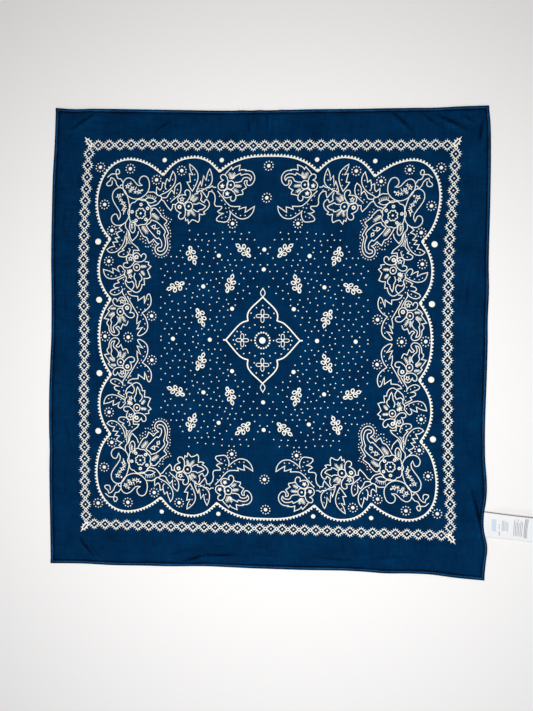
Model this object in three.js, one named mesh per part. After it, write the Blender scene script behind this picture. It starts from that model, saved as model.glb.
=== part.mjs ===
// A bandana laid out flat: one thin cotton panel, a narrow doubled hem along each of its four
// sides, and a satin ribbon label sewn into the right-hand hem. Millimetres, +Z up, with the
// origin on the surface that the cloth lies on, under its middle, and +Y towards its upper side.
import * as THREE from 'three';

// The cloth as it lies, side to side and top to bottom.
const CLOTH_WIDTH = 520;
const CLOTH_LENGTH = 557;
const WALL = 1;
const HEM_WIDTH = 5;
const HEM_THICKNESS = 1.6;
const SEAM_GAP = 0.3;

// The label, from the hem outwards. It runs slightly downhill, and its upper edge stands up.
const LABEL_LENGTH = 70;
const LABEL_WIDTH = 30;
const LABEL_ROOT_Y = -213.3;
const LABEL_TURN = THREE.MathUtils.degToRad(-5);
const LABEL_UPPER_LIFT = 2.6;
const LABEL_END_LIFT = 1.4;
const LABEL_ROOT_GAP = 0.7;
const LABEL_STEPS_ALONG = 14;
const LABEL_STEPS_ACROSS = 8;

// Cells of the panel's grid, closer together towards the sides, where the creases are. Each hem
// has the same stations, so that its seam keeps one width.
const PANEL_CELLS_ACROSS = 36;
const PANEL_CELLS_ALONG = 38;
const EDGE_CLOSENESS = 0.62;

const HALF_WIDTH = CLOTH_WIDTH / 2;
const HALF_LENGTH = CLOTH_LENGTH / 2;
const PANEL_REACH_ACROSS = 1 - (HEM_WIDTH + SEAM_GAP) / HALF_WIDTH;
const PANEL_REACH_ALONG = 1 - (HEM_WIDTH + SEAM_GAP) / HALF_LENGTH;

// How far each side lies from its straight line. at runs from -1 to 1 along the side, in the
// direction of +X or +Y, and off is in millimetres, also along +X or +Y.
const LEFT_SIDE = [
  { at: -1.0, off: 1.2 },
  { at: -0.9, off: 0.4 },
  { at: -0.78, off: -0.7 },
  { at: -0.64, off: -1.9 },
  { at: -0.52, off: -1.7 },
  { at: -0.42, off: -3.3 },
  { at: -0.27, off: -4.0 },
  { at: -0.13, off: -3.4 },
  { at: 0.0, off: -2.4 },
  { at: 0.2, off: -3.0 },
  { at: 0.34, off: -3.9 },
  { at: 0.52, off: -3.8 },
  { at: 0.7, off: -3.5 },
  { at: 0.84, off: -1.9 },
  { at: 1.0, off: -1.0 },
];
const RIGHT_SIDE = [
  { at: -1.0, off: 2.2 },
  { at: -0.92, off: 3.7 },
  { at: -0.86, off: 4.4 },
  { at: -0.79, off: 0.8 },
  { at: -0.73, off: 0.5 },
  { at: -0.66, off: 2.6 },
  { at: -0.6, off: 2.9 },
  { at: -0.48, off: 0.8 },
  { at: -0.34, off: 0.1 },
  { at: -0.15, off: 1.0 },
  { at: 0.0, off: 1.4 },
  { at: 0.1, off: 1.0 },
  { at: 0.22, off: 1.8 },
  { at: 0.34, off: 0.9 },
  { at: 0.6, off: 1.4 },
  { at: 0.8, off: 1.2 },
  { at: 0.92, off: 0.1 },
  { at: 1.0, off: -2.3 },
];
const TOP_SIDE = [
  { at: -1.0, off: -0.3 },
  { at: -0.92, off: -1.8 },
  { at: -0.78, off: -1.6 },
  { at: -0.6, off: -2.4 },
  { at: -0.42, off: -3.3 },
  { at: -0.22, off: -4.2 },
  { at: 0.0, off: -4.0 },
  { at: 0.2, off: -2.9 },
  { at: 0.4, off: -2.6 },
  { at: 0.56, off: -1.9 },
  { at: 0.75, off: -1.5 },
  { at: 0.88, off: 0.1 },
  { at: 1.0, off: 1.0 },
];
const BOTTOM_SIDE = [
  { at: -1.0, off: 1.2 },
  { at: -0.85, off: 2.1 },
  { at: -0.7, off: 1.4 },
  { at: -0.5, off: 2.6 },
  { at: -0.32, off: 4.0 },
  { at: -0.16, off: 3.7 },
  { at: -0.04, off: 3.3 },
  { at: 0.14, off: 3.7 },
  { at: 0.34, off: 4.4 },
  { at: 0.46, off: 3.8 },
  { at: 0.56, off: 2.7 },
  { at: 0.68, off: 4.0 },
  { at: 0.76, off: 3.9 },
  { at: 0.88, off: 0.2 },
  { at: 1.0, off: -1.8 },
];

// Where the cloth stands off the surface: a ridge's middle, its direction in degrees from +X,
// half its length and width, and its height. Between the ridges the underside lies flat.
const RIDGES = [
  { x: -84, y: -268, turn: 11, long: 74, wide: 11, high: 2.6 },
  { x: -222, y: -248, turn: -50, long: 36, wide: 9, high: 1.5 },
  { x: 250, y: -196, turn: -80, long: 58, wide: 10, high: 2.4 },
  { x: 258, y: -243, turn: 76, long: 28, wide: 13, high: 3.4 },
  { x: 258, y: -168, turn: 94, long: 34, wide: 12, high: 2.2 },
  { x: 196, y: 256, turn: -36, long: 44, wide: 11, high: 1.7 },
  { x: 252, y: 222, turn: 88, long: 52, wide: 9, high: 1.9 },
  { x: -232, y: 260, turn: 42, long: 36, wide: 10, high: 1.6 },
  { x: -34, y: 268, turn: 86, long: 26, wide: 8, high: 1.0 },
  { x: -12, y: 270, turn: 94, long: 20, wide: 7, high: 1.2 },
  { x: 14, y: 267, turn: 88, long: 24, wide: 8, high: 0.9 },
  { x: 190, y: -270, turn: -8, long: 52, wide: 12, high: 2.2 },
  { x: -259, y: -150, turn: 84, long: 30, wide: 10, high: 1.6 },
  { x: -258, y: 118, turn: 91, long: 88, wide: 10, high: 1.3 },
  { x: 60, y: -272, turn: 3, long: 60, wide: 10, high: 1.2 },
  { x: -104, y: 66, turn: 34, long: 120, wide: 30, high: 0.8 },
  { x: 112, y: 86, turn: -52, long: 110, wide: 28, high: 0.7 },
  { x: 96, y: -120, turn: 24, long: 126, wide: 32, high: 0.9 },
  { x: -96, y: -136, turn: -30, long: 100, wide: 26, high: 0.7 },
];

const COTTON = { color: 0x0a3a63, roughness: 0.92, metalness: 0 };
const SATIN = { color: 0xeeeff0, roughness: 0.5, metalness: 0 };

// A smooth curve through a table's rows, level at neither end.
function readTable(rows, at) {
  let i = 0;
  while (i < rows.length - 2 && at > rows[i + 1].at) i += 1;
  const before = rows[Math.max(0, i - 1)];
  const from = rows[i];
  const to = rows[i + 1];
  const after = rows[Math.min(rows.length - 1, i + 2)];
  const span = to.at - from.at;
  const share = (at - from.at) / span;
  const slopeFrom = ((to.off - before.off) / (to.at - before.at)) * span;
  const slopeTo = ((after.off - from.off) / (after.at - from.at)) * span;
  const square = share * share;
  const cube = square * share;
  return (2 * cube - 3 * square + 1) * from.off + (cube - 2 * square + share) * slopeFrom
    + (3 * square - 2 * cube) * to.off + (cube - square) * slopeTo;
}

// Height of the underside over the surface.
function liftAt(x, y) {
  let height = 0;
  for (const ridge of RIDGES) {
    const turn = THREE.MathUtils.degToRad(ridge.turn);
    const dx = x - ridge.x;
    const dy = y - ridge.y;
    const along = (dx * Math.cos(turn) + dy * Math.sin(turn)) / ridge.long;
    const across = (dy * Math.cos(turn) - dx * Math.sin(turn)) / ridge.wide;
    const lengthFade = Math.max(0, 1 - along * along);
    const widthFade = Math.max(0, 1 - across * across);
    height += ridge.high * (lengthFade * widthFade) ** 2;
  }
  return height;
}

// The point of the cloth at s across and t along, both from -1 to 1, and rise over its underside.
function clothPoint(s, t, rise) {
  const left = readTable(LEFT_SIDE, t);
  const right = readTable(RIGHT_SIDE, t);
  const bottom = readTable(BOTTOM_SIDE, s);
  const top = readTable(TOP_SIDE, s);
  const x = HALF_WIDTH * s + left * (1 - s) / 2 + right * (1 + s) / 2;
  const y = HALF_LENGTH * t + bottom * (1 - t) / 2 + top * (1 + t) / 2;
  return new THREE.Vector3(x, y, liftAt(x, y) + rise);
}

// Triangles that join each ring of points to the next.
function sleeve(rings) {
  const size = rings[0].length;
  const index = [];
  for (let r = 0; r < rings.length - 1; r += 1) {
    for (let i = 0; i < size; i += 1) {
      const a = r * size + i;
      const b = r * size + (i + 1) % size;
      index.push(a, b + size, b, a, a + size, b + size);
    }
  }
  return index;
}

function solid(rings, index) {
  const geometry = new THREE.BufferGeometry();
  const positions = rings.flat().flatMap((point) => point.toArray());
  geometry.setAttribute('position', new THREE.Float32BufferAttribute(positions, 3));
  geometry.setIndex(index);
  geometry.computeVertexNormals();
  return geometry;
}

// A closed bar over rings of points, with a fan over each end.
function bar(rings) {
  const size = rings[0].length;
  const last = (rings.length - 1) * size;
  const index = sleeve(rings);
  for (let i = 1; i < size - 1; i += 1) {
    index.push(0, i, i + 1, last, last + i + 1, last + i);
  }
  return solid(rings, index);
}

// A closed strip of cloth: each ring holds its lower points, then its upper points backwards.
function strip(rings, columns) {
  const size = rings[0].length;
  const last = (rings.length - 1) * size;
  const index = sleeve(rings);
  for (let i = 0; i < columns - 1; i += 1) {
    const lower = [i, i + 1];
    const upper = [size - 1 - i, size - 2 - i];
    index.push(lower[0], lower[1], upper[1], lower[0], upper[1], upper[0]);
    index.push(last + lower[0], last + upper[1], last + lower[1]);
    index.push(last + lower[0], last + upper[0], last + upper[1]);
  }
  return solid(rings, index);
}

// Grid lines from -reach to reach, closer together at both ends.
function gridLines(cells, reach) {
  return Array.from({ length: cells + 1 }, (_, i) => {
    const even = 2 * i / cells - 1;
    const crowded = Math.sin(even * Math.PI / 2);
    return (even + (crowded - even) * EDGE_CLOSENESS) * reach;
  });
}

// The panel inside the hems: upper and lower faces on one grid, closed round the rim.
function panelGeometry() {
  const across = gridLines(PANEL_CELLS_ACROSS, PANEL_REACH_ACROSS);
  const along = gridLines(PANEL_CELLS_ALONG, PANEL_REACH_ALONG);
  const rings = along.map((t) => [
    ...across.map((s) => clothPoint(s, t, 0)),
    ...across.map((s) => clothPoint(s, t, WALL)).reverse(),
  ]);
  return strip(rings, across.length);
}

// A hem's section: inward from the cloth's edge, and up from its underside.
const HEM_SECTION = [
  { inward: 0.35, up: 0 },
  { inward: HEM_WIDTH, up: 0 },
  { inward: HEM_WIDTH, up: 1.1 },
  { inward: HEM_WIDTH - 0.5, up: 1.5 },
  { inward: HEM_WIDTH - 1.4, up: 1.35 },
  { inward: HEM_WIDTH - 2.4, up: HEM_THICKNESS },
  { inward: 0.8, up: HEM_THICKNESS },
  { inward: 0.1, up: 1.15 },
  { inward: 0, up: 0.55 },
];

// A hem along the upper or lower side (level), or along the left or right side between those two.
function hemGeometry(level, sign) {
  const half = level ? HALF_LENGTH : HALF_WIDTH;
  const stations = level
    ? [-1, ...gridLines(PANEL_CELLS_ACROSS, PANEL_REACH_ACROSS), 1]
    : gridLines(PANEL_CELLS_ALONG, PANEL_REACH_ALONG);
  const rings = stations.map((run) => HEM_SECTION.map(({ inward, up }) => {
    const edge = sign * (1 - inward / half);
    return level ? clothPoint(run, edge, up) : clothPoint(edge, run, up);
  }));
  const facesOut = level ? sign > 0 : sign < 0;
  return bar(facesOut ? rings : rings.reverse());
}

// The label: a flat ribbon from just outside the hem's edge, which its root follows. Its upper
// edge and its free end curl up a little.
function labelGeometry() {
  const edgeAt = (y) => clothPoint(1, y / HALF_LENGTH, 0);
  const endX = edgeAt(LABEL_ROOT_Y).x + LABEL_LENGTH * Math.cos(LABEL_TURN);
  const point = (run, side, up) => {
    const across = (side - 0.5) * LABEL_WIDTH;
    const root = edgeAt(LABEL_ROOT_Y + across);
    const rootX = root.x + LABEL_ROOT_GAP;
    const x = rootX + (endX - across * Math.sin(LABEL_TURN) - rootX) * run;
    const y = LABEL_ROOT_Y + across + run * LABEL_LENGTH * Math.sin(LABEL_TURN);
    const curl = LABEL_UPPER_LIFT * side ** 3 * Math.sin(Math.PI * (0.1 + 0.8 * run))
      + LABEL_END_LIFT * run ** 4;
    return new THREE.Vector3(x, y, root.z * (1 - run) ** 3 + curl + up);
  };
  const shares = (steps) => Array.from({ length: steps + 1 }, (_, i) => i / steps);
  const rings = shares(LABEL_STEPS_ALONG).map((run) => [
    ...shares(LABEL_STEPS_ACROSS).map((side) => point(run, side, 0)),
    ...shares(LABEL_STEPS_ACROSS).reverse().map((side) => point(run, side, WALL)),
  ]);
  return strip(rings.reverse(), LABEL_STEPS_ACROSS + 1);
}

function piece(name, geometry, finish) {
  const mesh = new THREE.Mesh(geometry, new THREE.MeshStandardMaterial(finish));
  mesh.name = name;
  return mesh;
}

const bandana = new THREE.Group();
bandana.add(
  piece('cloth_panel', panelGeometry(), COTTON),
  piece('hem_top', hemGeometry(true, 1), COTTON),
  piece('hem_bottom', hemGeometry(true, -1), COTTON),
  piece('hem_left', hemGeometry(false, -1), COTTON),
  piece('hem_right', hemGeometry(false, 1), COTTON),
  piece('care_label', labelGeometry(), SATIN),
);

export default bandana;
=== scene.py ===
import math
import bpy
import numpy as np
from mathutils import Matrix, Vector
from mathutils.geometry import delaunay_2d_cdt


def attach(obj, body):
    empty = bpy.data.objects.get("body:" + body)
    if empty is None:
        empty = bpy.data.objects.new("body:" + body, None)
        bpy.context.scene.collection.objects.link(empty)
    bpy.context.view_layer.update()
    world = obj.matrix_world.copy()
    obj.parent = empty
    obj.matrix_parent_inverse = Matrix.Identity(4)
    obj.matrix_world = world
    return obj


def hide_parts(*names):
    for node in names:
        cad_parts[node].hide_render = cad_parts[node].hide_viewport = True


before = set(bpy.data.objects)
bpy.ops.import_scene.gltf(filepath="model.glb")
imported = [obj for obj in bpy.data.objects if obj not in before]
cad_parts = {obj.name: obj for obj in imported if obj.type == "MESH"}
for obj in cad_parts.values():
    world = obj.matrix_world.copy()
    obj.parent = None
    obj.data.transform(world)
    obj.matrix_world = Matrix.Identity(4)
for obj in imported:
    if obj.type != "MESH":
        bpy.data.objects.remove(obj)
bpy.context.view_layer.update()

mm = 0.001


# Small helpers

def srgb(hexColour):
    channels = [int(hexColour[i:i + 2], 16) / 255 for i in (1, 3, 5)]
    return tuple(c / 12.92 if c <= 0.04045 else ((c + 0.055) / 1.055) ** 2.4 for c in channels) + (1.0,)


def addNode(tree, kind, settings=None, links=None):
    # settings: attribute or input name to value; links: input name to an output socket
    node = tree.nodes.new(kind)
    for name, value in (settings or {}).items():
        if hasattr(node, name) and name not in node.inputs:
            setattr(node, name, value)
        else:
            node.inputs[name].default_value = value
    for name, socket in (links or {}).items():
        tree.links.new(socket, node.inputs[name])
    return node


def newMaterial(name):
    material = bpy.data.materials.new(name)
    material.use_nodes = True
    tree = material.node_tree
    return material, tree, tree.nodes["Principled BSDF"]


def newPiece(name, verts, faces, materials, slots=None, smooth=True):
    mesh = bpy.data.meshes.new(name)
    mesh.from_pydata(verts, [], faces)
    for material in materials:
        mesh.materials.append(material)
    if slots is not None:
        mesh.polygons.foreach_set("material_index", slots)
    if smooth:
        mesh.polygons.foreach_set("use_smooth", [True] * len(mesh.polygons))
    mesh.update()
    piece = bpy.data.objects.new(name, mesh)
    bpy.context.scene.collection.objects.link(piece)
    return piece


# Camera: straight above the cloth, a little to its right and turned by a degree, as a phone is held

cameraValues = {
    "place": (28.5, -16.8, 640.3),  # mm
    "right": (0.99892, 0.01672, -0.04331),
    "up": (-0.01687, 0.99986, -0.00290),
    "lens": 27.04,  # for the 36 mm film width
}


def makeCamera():
    data = bpy.data.cameras.new("camera")
    data.sensor_width = 36
    data.lens = cameraValues["lens"]
    data.clip_start = 0.01
    camera = bpy.data.objects.new("camera", data)
    right, up = Vector(cameraValues["right"]).normalized(), Vector(cameraValues["up"])
    back = right.cross(up).normalized()
    up = back.cross(right)
    place = Vector(cameraValues["place"]) * mm
    camera.matrix_world = Matrix.Translation(place) @ Matrix((right, up, back)).transposed().to_4x4()
    bpy.context.scene.collection.objects.link(camera)
    bpy.context.scene.camera = camera


# Light and ground

lightValues = {
    "sky": "#f4f5f7", "skyStrength": 0.25,
    # each lamp: watts, size, place and target in metres, colour
    # the box hangs close above, so the corners fall off a little
    "overhead": (5.1, (0.55, 0.55), (0.02, -0.05, 0.72), (0.02, -0.05, 0), "#ffffff"),
    # the window stands low beyond the lower side, so the cloth there is paler
    "window": (6.0, (1.4, 0.7), (0.25, -1.5, 0.75), (0, -0.1, 0), "#f3f7ff"),
    "ground": "#fbf9f7", "groundReach": 3.0, "groundDrop": 0.0002,  # metres
}


def makeAreaLight(name, power, size, place, target, colour):
    data = bpy.data.lights.new(name, "AREA")
    data.energy = power
    data.shape = "RECTANGLE"
    data.size, data.size_y = size
    data.color = srgb(colour)[:3]
    light = bpy.data.objects.new(name, data)
    light.location = place
    aim = Vector(target) - Vector(place)
    light.rotation_euler = aim.to_track_quat("-Z", "Y").to_euler()
    bpy.context.scene.collection.objects.link(light)


def makeStudio():
    world = bpy.data.worlds.new("studio")
    bpy.context.scene.world = world
    bpy.context.scene.view_settings.view_transform = "Standard"  # keeps the deep navy as deep as the dye
    world.use_nodes = True
    background = world.node_tree.nodes["Background"]
    background.inputs["Color"].default_value = srgb(lightValues["sky"])
    background.inputs["Strength"].default_value = lightValues["skyStrength"]
    makeAreaLight("overhead soft box", *lightValues["overhead"])
    makeAreaLight("low window", *lightValues["window"])
    far, z = lightValues["groundReach"], -lightValues["groundDrop"]
    corners = [(-far, -far, z), (far, -far, z), (far, far, z), (-far, far, z)]
    ground = newPiece("ground", corners, [(0, 1, 2, 3)], [paleGround()], smooth=False)


def paleGround():
    # matt white board: an even, very slightly warm ground
    material, tree, shader = newMaterial("matt white board")
    shader.inputs["Base Color"].default_value = srgb(lightValues["ground"])
    shader.inputs["Roughness"].default_value = 0.9
    shader.inputs["Specular IOR Level"].default_value = 0.2
    return material


# The cloth's form, in mm: the same tables as the part's source

clothSize = {"width": 520, "length": 557}
clothSides = {  # how far each side lies from its straight line, from -1 to 1 along it
    "left": [(-1.0, 1.2), (-0.9, 0.4), (-0.78, -0.7), (-0.64, -1.9), (-0.52, -1.7), (-0.42, -3.3),
             (-0.27, -4.0), (-0.13, -3.4), (0.0, -2.4), (0.2, -3.0), (0.34, -3.9), (0.52, -3.8),
             (0.7, -3.5), (0.84, -1.9), (1.0, -1.0)],
    "right": [(-1.0, 2.2), (-0.92, 3.7), (-0.86, 4.4), (-0.79, 0.8), (-0.73, 0.5), (-0.66, 2.6),
              (-0.6, 2.9), (-0.48, 0.8), (-0.34, 0.1), (-0.15, 1.0), (0.0, 1.4), (0.1, 1.0),
              (0.22, 1.8), (0.34, 0.9), (0.6, 1.4), (0.8, 1.2), (0.92, 0.1), (1.0, -2.3)],
    "top": [(-1.0, -0.3), (-0.92, -1.8), (-0.78, -1.6), (-0.6, -2.4), (-0.42, -3.3), (-0.22, -4.2),
            (0.0, -4.0), (0.2, -2.9), (0.4, -2.6), (0.56, -1.9), (0.75, -1.5), (0.88, 0.1), (1.0, 1.0)],
    "bottom": [(-1.0, 1.2), (-0.85, 2.1), (-0.7, 1.4), (-0.5, 2.6), (-0.32, 4.0), (-0.16, 3.7),
               (-0.04, 3.3), (0.14, 3.7), (0.34, 4.4), (0.46, 3.8), (0.56, 2.7), (0.68, 4.0),
               (0.76, 3.9), (0.88, 0.2), (1.0, -1.8)],
}
clothRidges = [  # x, y, direction in degrees, half length, half width, height
    (-84, -268, 11, 74, 11, 2.6), (-222, -248, -50, 36, 9, 1.5), (250, -196, -80, 58, 10, 2.4),
    (258, -243, 76, 28, 13, 3.4), (258, -168, 94, 34, 12, 2.2), (196, 256, -36, 44, 11, 1.7),
    (252, 222, 88, 52, 9, 1.9), (-232, 260, 42, 36, 10, 1.6), (-34, 268, 86, 26, 8, 1.0),
    (-12, 270, 94, 20, 7, 1.2), (14, 267, 88, 24, 8, 0.9), (190, -270, -8, 52, 12, 2.2),
    (-259, -150, 84, 30, 10, 1.6), (-258, 118, 91, 88, 10, 1.3), (60, -272, 3, 60, 10, 1.2),
    (-104, 66, 34, 120, 30, 0.8), (112, 86, -52, 110, 28, 0.7), (96, -120, 24, 126, 32, 0.9),
    (-96, -136, -30, 100, 26, 0.7),
]
softCreases = [  # finer ones that only show in the light; same columns
    (-83, -266, 19, 20, 2.8, 1.3), (-50, -261, 1, 24, 2.8, 0.9), (-98, -259, 15, 20, 3.0, 0.4),
    (-214, -257, -50, 21, 2.8, 1.1), (-204, -262, -44, 15, 2.6, 0.4), (252, -203, -76, 36, 3.4, 1.2),
    (246, -186, -80, 26, 2.6, 0.4), (156, 260, -43, 24, 4.2, 1.5), (186, 264, -38, 16, 3.0, 0.5),
    (216, 258, -25, 30, 4.4, 1.5), (250, 248, 82, 19, 3.6, 1.5), (236, 262, -30, 15, 3.0, 0.6),
    (-226, 260, 34, 24, 3.4, 1.1), (-240, 244, 52, 14, 2.8, 0.4), (-128, 255, 34, 17, 2.4, 0.6),
    (-24, 255, 89, 11, 2.2, 0.7), (-2, 261, 91, 14, 2.2, 0.7), (22, 262, 86, 11, 2.4, 0.3),
    (-246, 150, 78, 26, 3.0, 0.35), (-244, 40, 96, 30, 3.4, 0.3), (238, 60, 84, 34, 3.4, 0.3),
    (-238, -120, 100, 24, 3.0, 0.35), (150, -258, 4, 26, 3.0, 0.4), (86, -262, -5, 30, 3.0, 0.35),
    (10, -260, 3, 26, 3.0, 0.3), (-160, -262, -4, 22, 3.0, 0.35),
]
halfWidth, halfLength = clothSize["width"] / 2, clothSize["length"] / 2


def readTable(rows, at):
    # a smooth curve through the rows
    i = 0
    while i < len(rows) - 2 and at > rows[i + 1][0]:
        i += 1
    before, first = rows[max(0, i - 1)], rows[i]
    last, after = rows[i + 1], rows[min(len(rows) - 1, i + 2)]
    span = last[0] - first[0]
    share = (at - first[0]) / span
    if share < 0 or share > 1:
        return first[1] if share < 0 else last[1]
    slopeIn = (last[1] - before[1]) / (last[0] - before[0]) * span
    slopeOut = (after[1] - first[1]) / (after[0] - first[0]) * span
    square, cube = share * share, share * share * share
    return ((2 * cube - 3 * square + 1) * first[1] + (cube - 2 * square + share) * slopeIn
            + (3 * square - 2 * cube) * last[1] + (cube - square) * slopeOut)


def ridgeHeight(x, y, rows):
    height = 0.0
    for cx, cy, turn, long, wide, high in rows:
        dx, dy = x - cx, y - cy
        if abs(dx) > long + wide or abs(dy) > long + wide:
            continue
        c, s = math.cos(math.radians(turn)), math.sin(math.radians(turn))
        along, across = (dx * c + dy * s) / long, (dy * c - dx * s) / wide
        if abs(along) < 1 and abs(across) < 1:
            height += high * ((1 - along * along) * (1 - across * across)) ** 2
    return height


def clothHeight(x, y):
    return ridgeHeight(x, y, clothRidges) + ridgeHeight(x, y, softCreases)


def creasePaintedShading(x, y):
    # painted shading: one side of each fine crease is painted darker, as shade, and the other paler, as
    # light
    paintedShading = 0.0
    for cx, cy, turn, long, wide, high in softCreases:
        dx, dy = x - cx, y - cy
        if abs(dx) > long + 2 * wide or abs(dy) > long + 2 * wide:
            continue
        c, s = math.cos(math.radians(turn)), math.sin(math.radians(turn))
        along, across = (dx * c + dy * s) / long, (dy * c - dx * s) / wide
        if abs(along) >= 1:
            continue
        for middle, share in ((0.4, -1.0), (-0.7, 0.4)):
            reach = (across - middle) / 0.75
            if abs(reach) < 1:
                fade = ((1 - along * along) * (1 - reach * reach)) ** 1.5
                paintedShading += share * min(1.0, high * 1.1) * fade
    return paintedShading


def clothPoint(s, t):
    # from shares of the cloth, -1 to 1 both ways, to its place in mm
    left, right = readTable(clothSides["left"], t), readTable(clothSides["right"], t)
    bottom, top = readTable(clothSides["bottom"], s), readTable(clothSides["top"], s)
    return (halfWidth * s + left * (1 - s) / 2 + right * (1 + s) / 2,
            halfLength * t + bottom * (1 - t) / 2 + top * (1 + t) / 2)


def clothInside(x, y, margin):
    # whether a point is on the cloth, at least so far from its edge
    s, t = x / halfWidth, y / halfLength
    if abs(s) > 1.03 or abs(t) > 1.03:
        return False
    left = readTable(clothSides["left"], t) - halfWidth
    right = readTable(clothSides["right"], t) + halfWidth
    bottom = readTable(clothSides["bottom"], s) - halfLength
    top = readTable(clothSides["top"], s) + halfLength
    return left + margin < x < right - margin and bottom + margin < y < top - margin


# The print's own frame, and where its points lie on the cloth

printValues = {  # mm
    "across": 218.5, "along": 230.0,  # half the border's size in the print's own frame
    "middle": (0.7, -3.8),  # how far the middle lies off the mean of the four sides
    "slack": 1.1,  # lower at the two sides of the upper half
    "core": -1.7,  # the medallion and its neighbours lie a little to the left
}
printSides = {  # where the border's middle line lies
    "left": [(-0.95, -216.0), (-0.80, -218.0), (-0.66, -218.6), (-0.36, -220.8), (-0.06, -221.3),
             (0.16, -222.7), (0.31, -224.0), (0.53, -223.7), (0.68, -223.3), (0.83, -221.1),
             (0.90, -220.4), (0.98, -218.4)],
    "right": [(-0.97, 221.8), (-0.88, 221.9), (-0.75, 219.5), (-0.60, 217.8), (-0.46, 216.7),
              (-0.31, 215.9), (-0.16, 215.0), (0.13, 214.5), (0.48, 214.8), (0.62, 216.2),
              (0.76, 218.2), (0.90, 219.6), (0.97, 220.6)],
    "bottom": [(-0.96, -227.2), (-0.7, -227.6), (-0.4, -227.4), (0.0, -226.9), (0.3, -227.0),
               (0.6, -227.8), (0.97, -228.4)],
    "top": [(-0.97, 232.7), (-0.65, 234.0), (-0.42, 232.8), (-0.1, 232.4), (0.35, 233.3),
            (0.66, 232.8), (0.88, 233.5), (0.96, 232.7)],
}
printSag = [  # the cloth is pulled longer here, mm
    (-1.0, 0.0), (-0.89, -1.2), (-0.76, -1.3), (-0.63, -2.3), (-0.48, -2.8), (-0.35, -2.8), (-0.2, -2.6),
    (-0.07, -2.1), (0.06, -0.4), (0.2, 0.0), (1.0, 0.0),
]


def onCloth(u, v):
    # the border's four sides place the print, and what lies between follows them
    s, t = u / printValues["across"], v / printValues["along"]
    left, right = readTable(printSides["left"], t), readTable(printSides["right"], t)
    bottom, top = readTable(printSides["bottom"], s), readTable(printSides["top"], s)
    middle = max(0.0, 1 - s * s) * max(0.0, 1 - t * t)
    sag = readTable(printSag, t) * min(1.0, max(0.15, abs(s) * 1.9 - 0.25))
    nearSides = min(1.0, max(0.0, abs(s) * 6 - 4.8))
    sag -= printValues["slack"] * min(1.0, max(0.0, t * 8)) * max(0.0, 1 - t * t) * nearSides
    core = printValues["core"] * max(0.0, 1 - 7 * (s * s + t * t))
    moveX, moveY = printValues["middle"]
    return (left * (1 - s) / 2 + right * (1 + s) / 2 + moveX * middle + core,
            bottom * (1 - t) / 2 + top * (1 + t) / 2 + moveY * middle + sag)


# The print. Ink is kept as marks in the print's own frame, in mm: open lines, closed loops and filled
# shapes. The motifs are drawn for the upper left quarter, and mirroring gives the other three. A point
# with a third value is a sharp corner, and the line flows through the others.

inkMarks = []
inkSizes = {
    "line": 0.94, "fine": 0.74, "scallop": 1.4,  # widths
    "spike": (0.9, 0.5), "hair": (0.55, 0.4),  # widths at the foot and at the tip
    "leafDot": 0.72, "fieldDot": 0.8, "largeDot": 2.45,  # radii
}


def line(points, width=None, end=None):
    width = width or inkSizes["line"]
    inkMarks.append({"kind": "line", "points": points, "width": width, "end": end or width})


def loop(points, width=None):
    width = width or inkSizes["line"]
    inkMarks.append({"kind": "loop", "points": points, "width": width, "end": width})


def fill(points):
    inkMarks.append({"kind": "fill", "points": points, "width": 0, "end": 0})


def polar(centre, radius, degrees, squash=1.0):
    angle = math.radians(degrees)
    return (centre[0] + radius * math.cos(angle), centre[1] + radius * squash * math.sin(angle))


def ring(centre, radius, width, sides=10, squash=1.0, turn=0.0):
    loop([polar(centre, radius, turn + 360 * i / sides, squash) for i in range(sides)], width)


def dot(centre, radius, sides=6, turn=0.0):
    fill([polar(centre, radius, turn + 360 * i / sides) for i in range(sides)])


def dots(spots, radius=None):
    for spot in spots:
        dot(spot, radius or inkSizes["leafDot"], 5)


def placed(points, origin, degrees, size=1.0, flip=1):
    # points of a motif, moved to where it stands
    c, s = math.cos(math.radians(degrees)) * size, math.sin(math.radians(degrees)) * size
    return [(origin[0] + c * x - s * y * flip, origin[1] + s * x + c * y * flip, *corner)
            for x, y, *corner in points]


def smooth(points, step=2.0, closed=False):
    # a flowing line through a few points, cut into even steps
    points = [p[:2] for p in points]
    count = len(points)
    dense = []
    for i in range(count if closed else count - 1):
        if closed:
            p = [points[(i + k) % count] for k in (-1, 0, 1, 2)]
        else:
            p = [points[max(0, i - 1)], points[i], points[i + 1], points[min(count - 1, i + 2)]]
        for k in range(10):
            t = k / 10
            a = [(-t ** 3 + 2 * t ** 2 - t) / 2, (3 * t ** 3 - 5 * t ** 2 + 2) / 2,
                 (-3 * t ** 3 + 4 * t ** 2 + t) / 2, (t ** 3 - t ** 2) / 2]
            dense.append(tuple(sum(w * q[j] for w, q in zip(a, p)) for j in (0, 1)))
    dense.append(points[0] if closed else points[-1])
    lengths = [0.0]
    for a, b in zip(dense, dense[1:]):
        lengths.append(lengths[-1] + math.dist(a, b))
    pieces = max(1, round(lengths[-1] / step))
    out = []
    j = 0
    for k in range(pieces if closed else pieces + 1):
        want = lengths[-1] * k / pieces
        while j < len(lengths) - 2 and lengths[j + 1] < want:
            j += 1
        share = (want - lengths[j]) / max(1e-9, lengths[j + 1] - lengths[j])
        out.append(tuple(dense[j][i] + (dense[j + 1][i] - dense[j][i]) * share for i in (0, 1)))
    return out


def flow(points, step=1.9, closed=False):
    # smooth between the corners
    corners = [i for i, p in enumerate(points) if len(p) > 2]
    if not corners:
        return smooth(points, step, closed)
    if closed:
        points = points[corners[0]:] + points[:corners[0] + 1]
        corners = [i for i, p in enumerate(points) if len(p) > 2]
    stops = sorted({0, len(points) - 1, *corners})
    out = []
    for a, b in zip(stops, stops[1:]):
        out += smooth(points[a:b + 1], step)[:-1]
    return out if closed else out + [points[-1][:2]]


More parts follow.
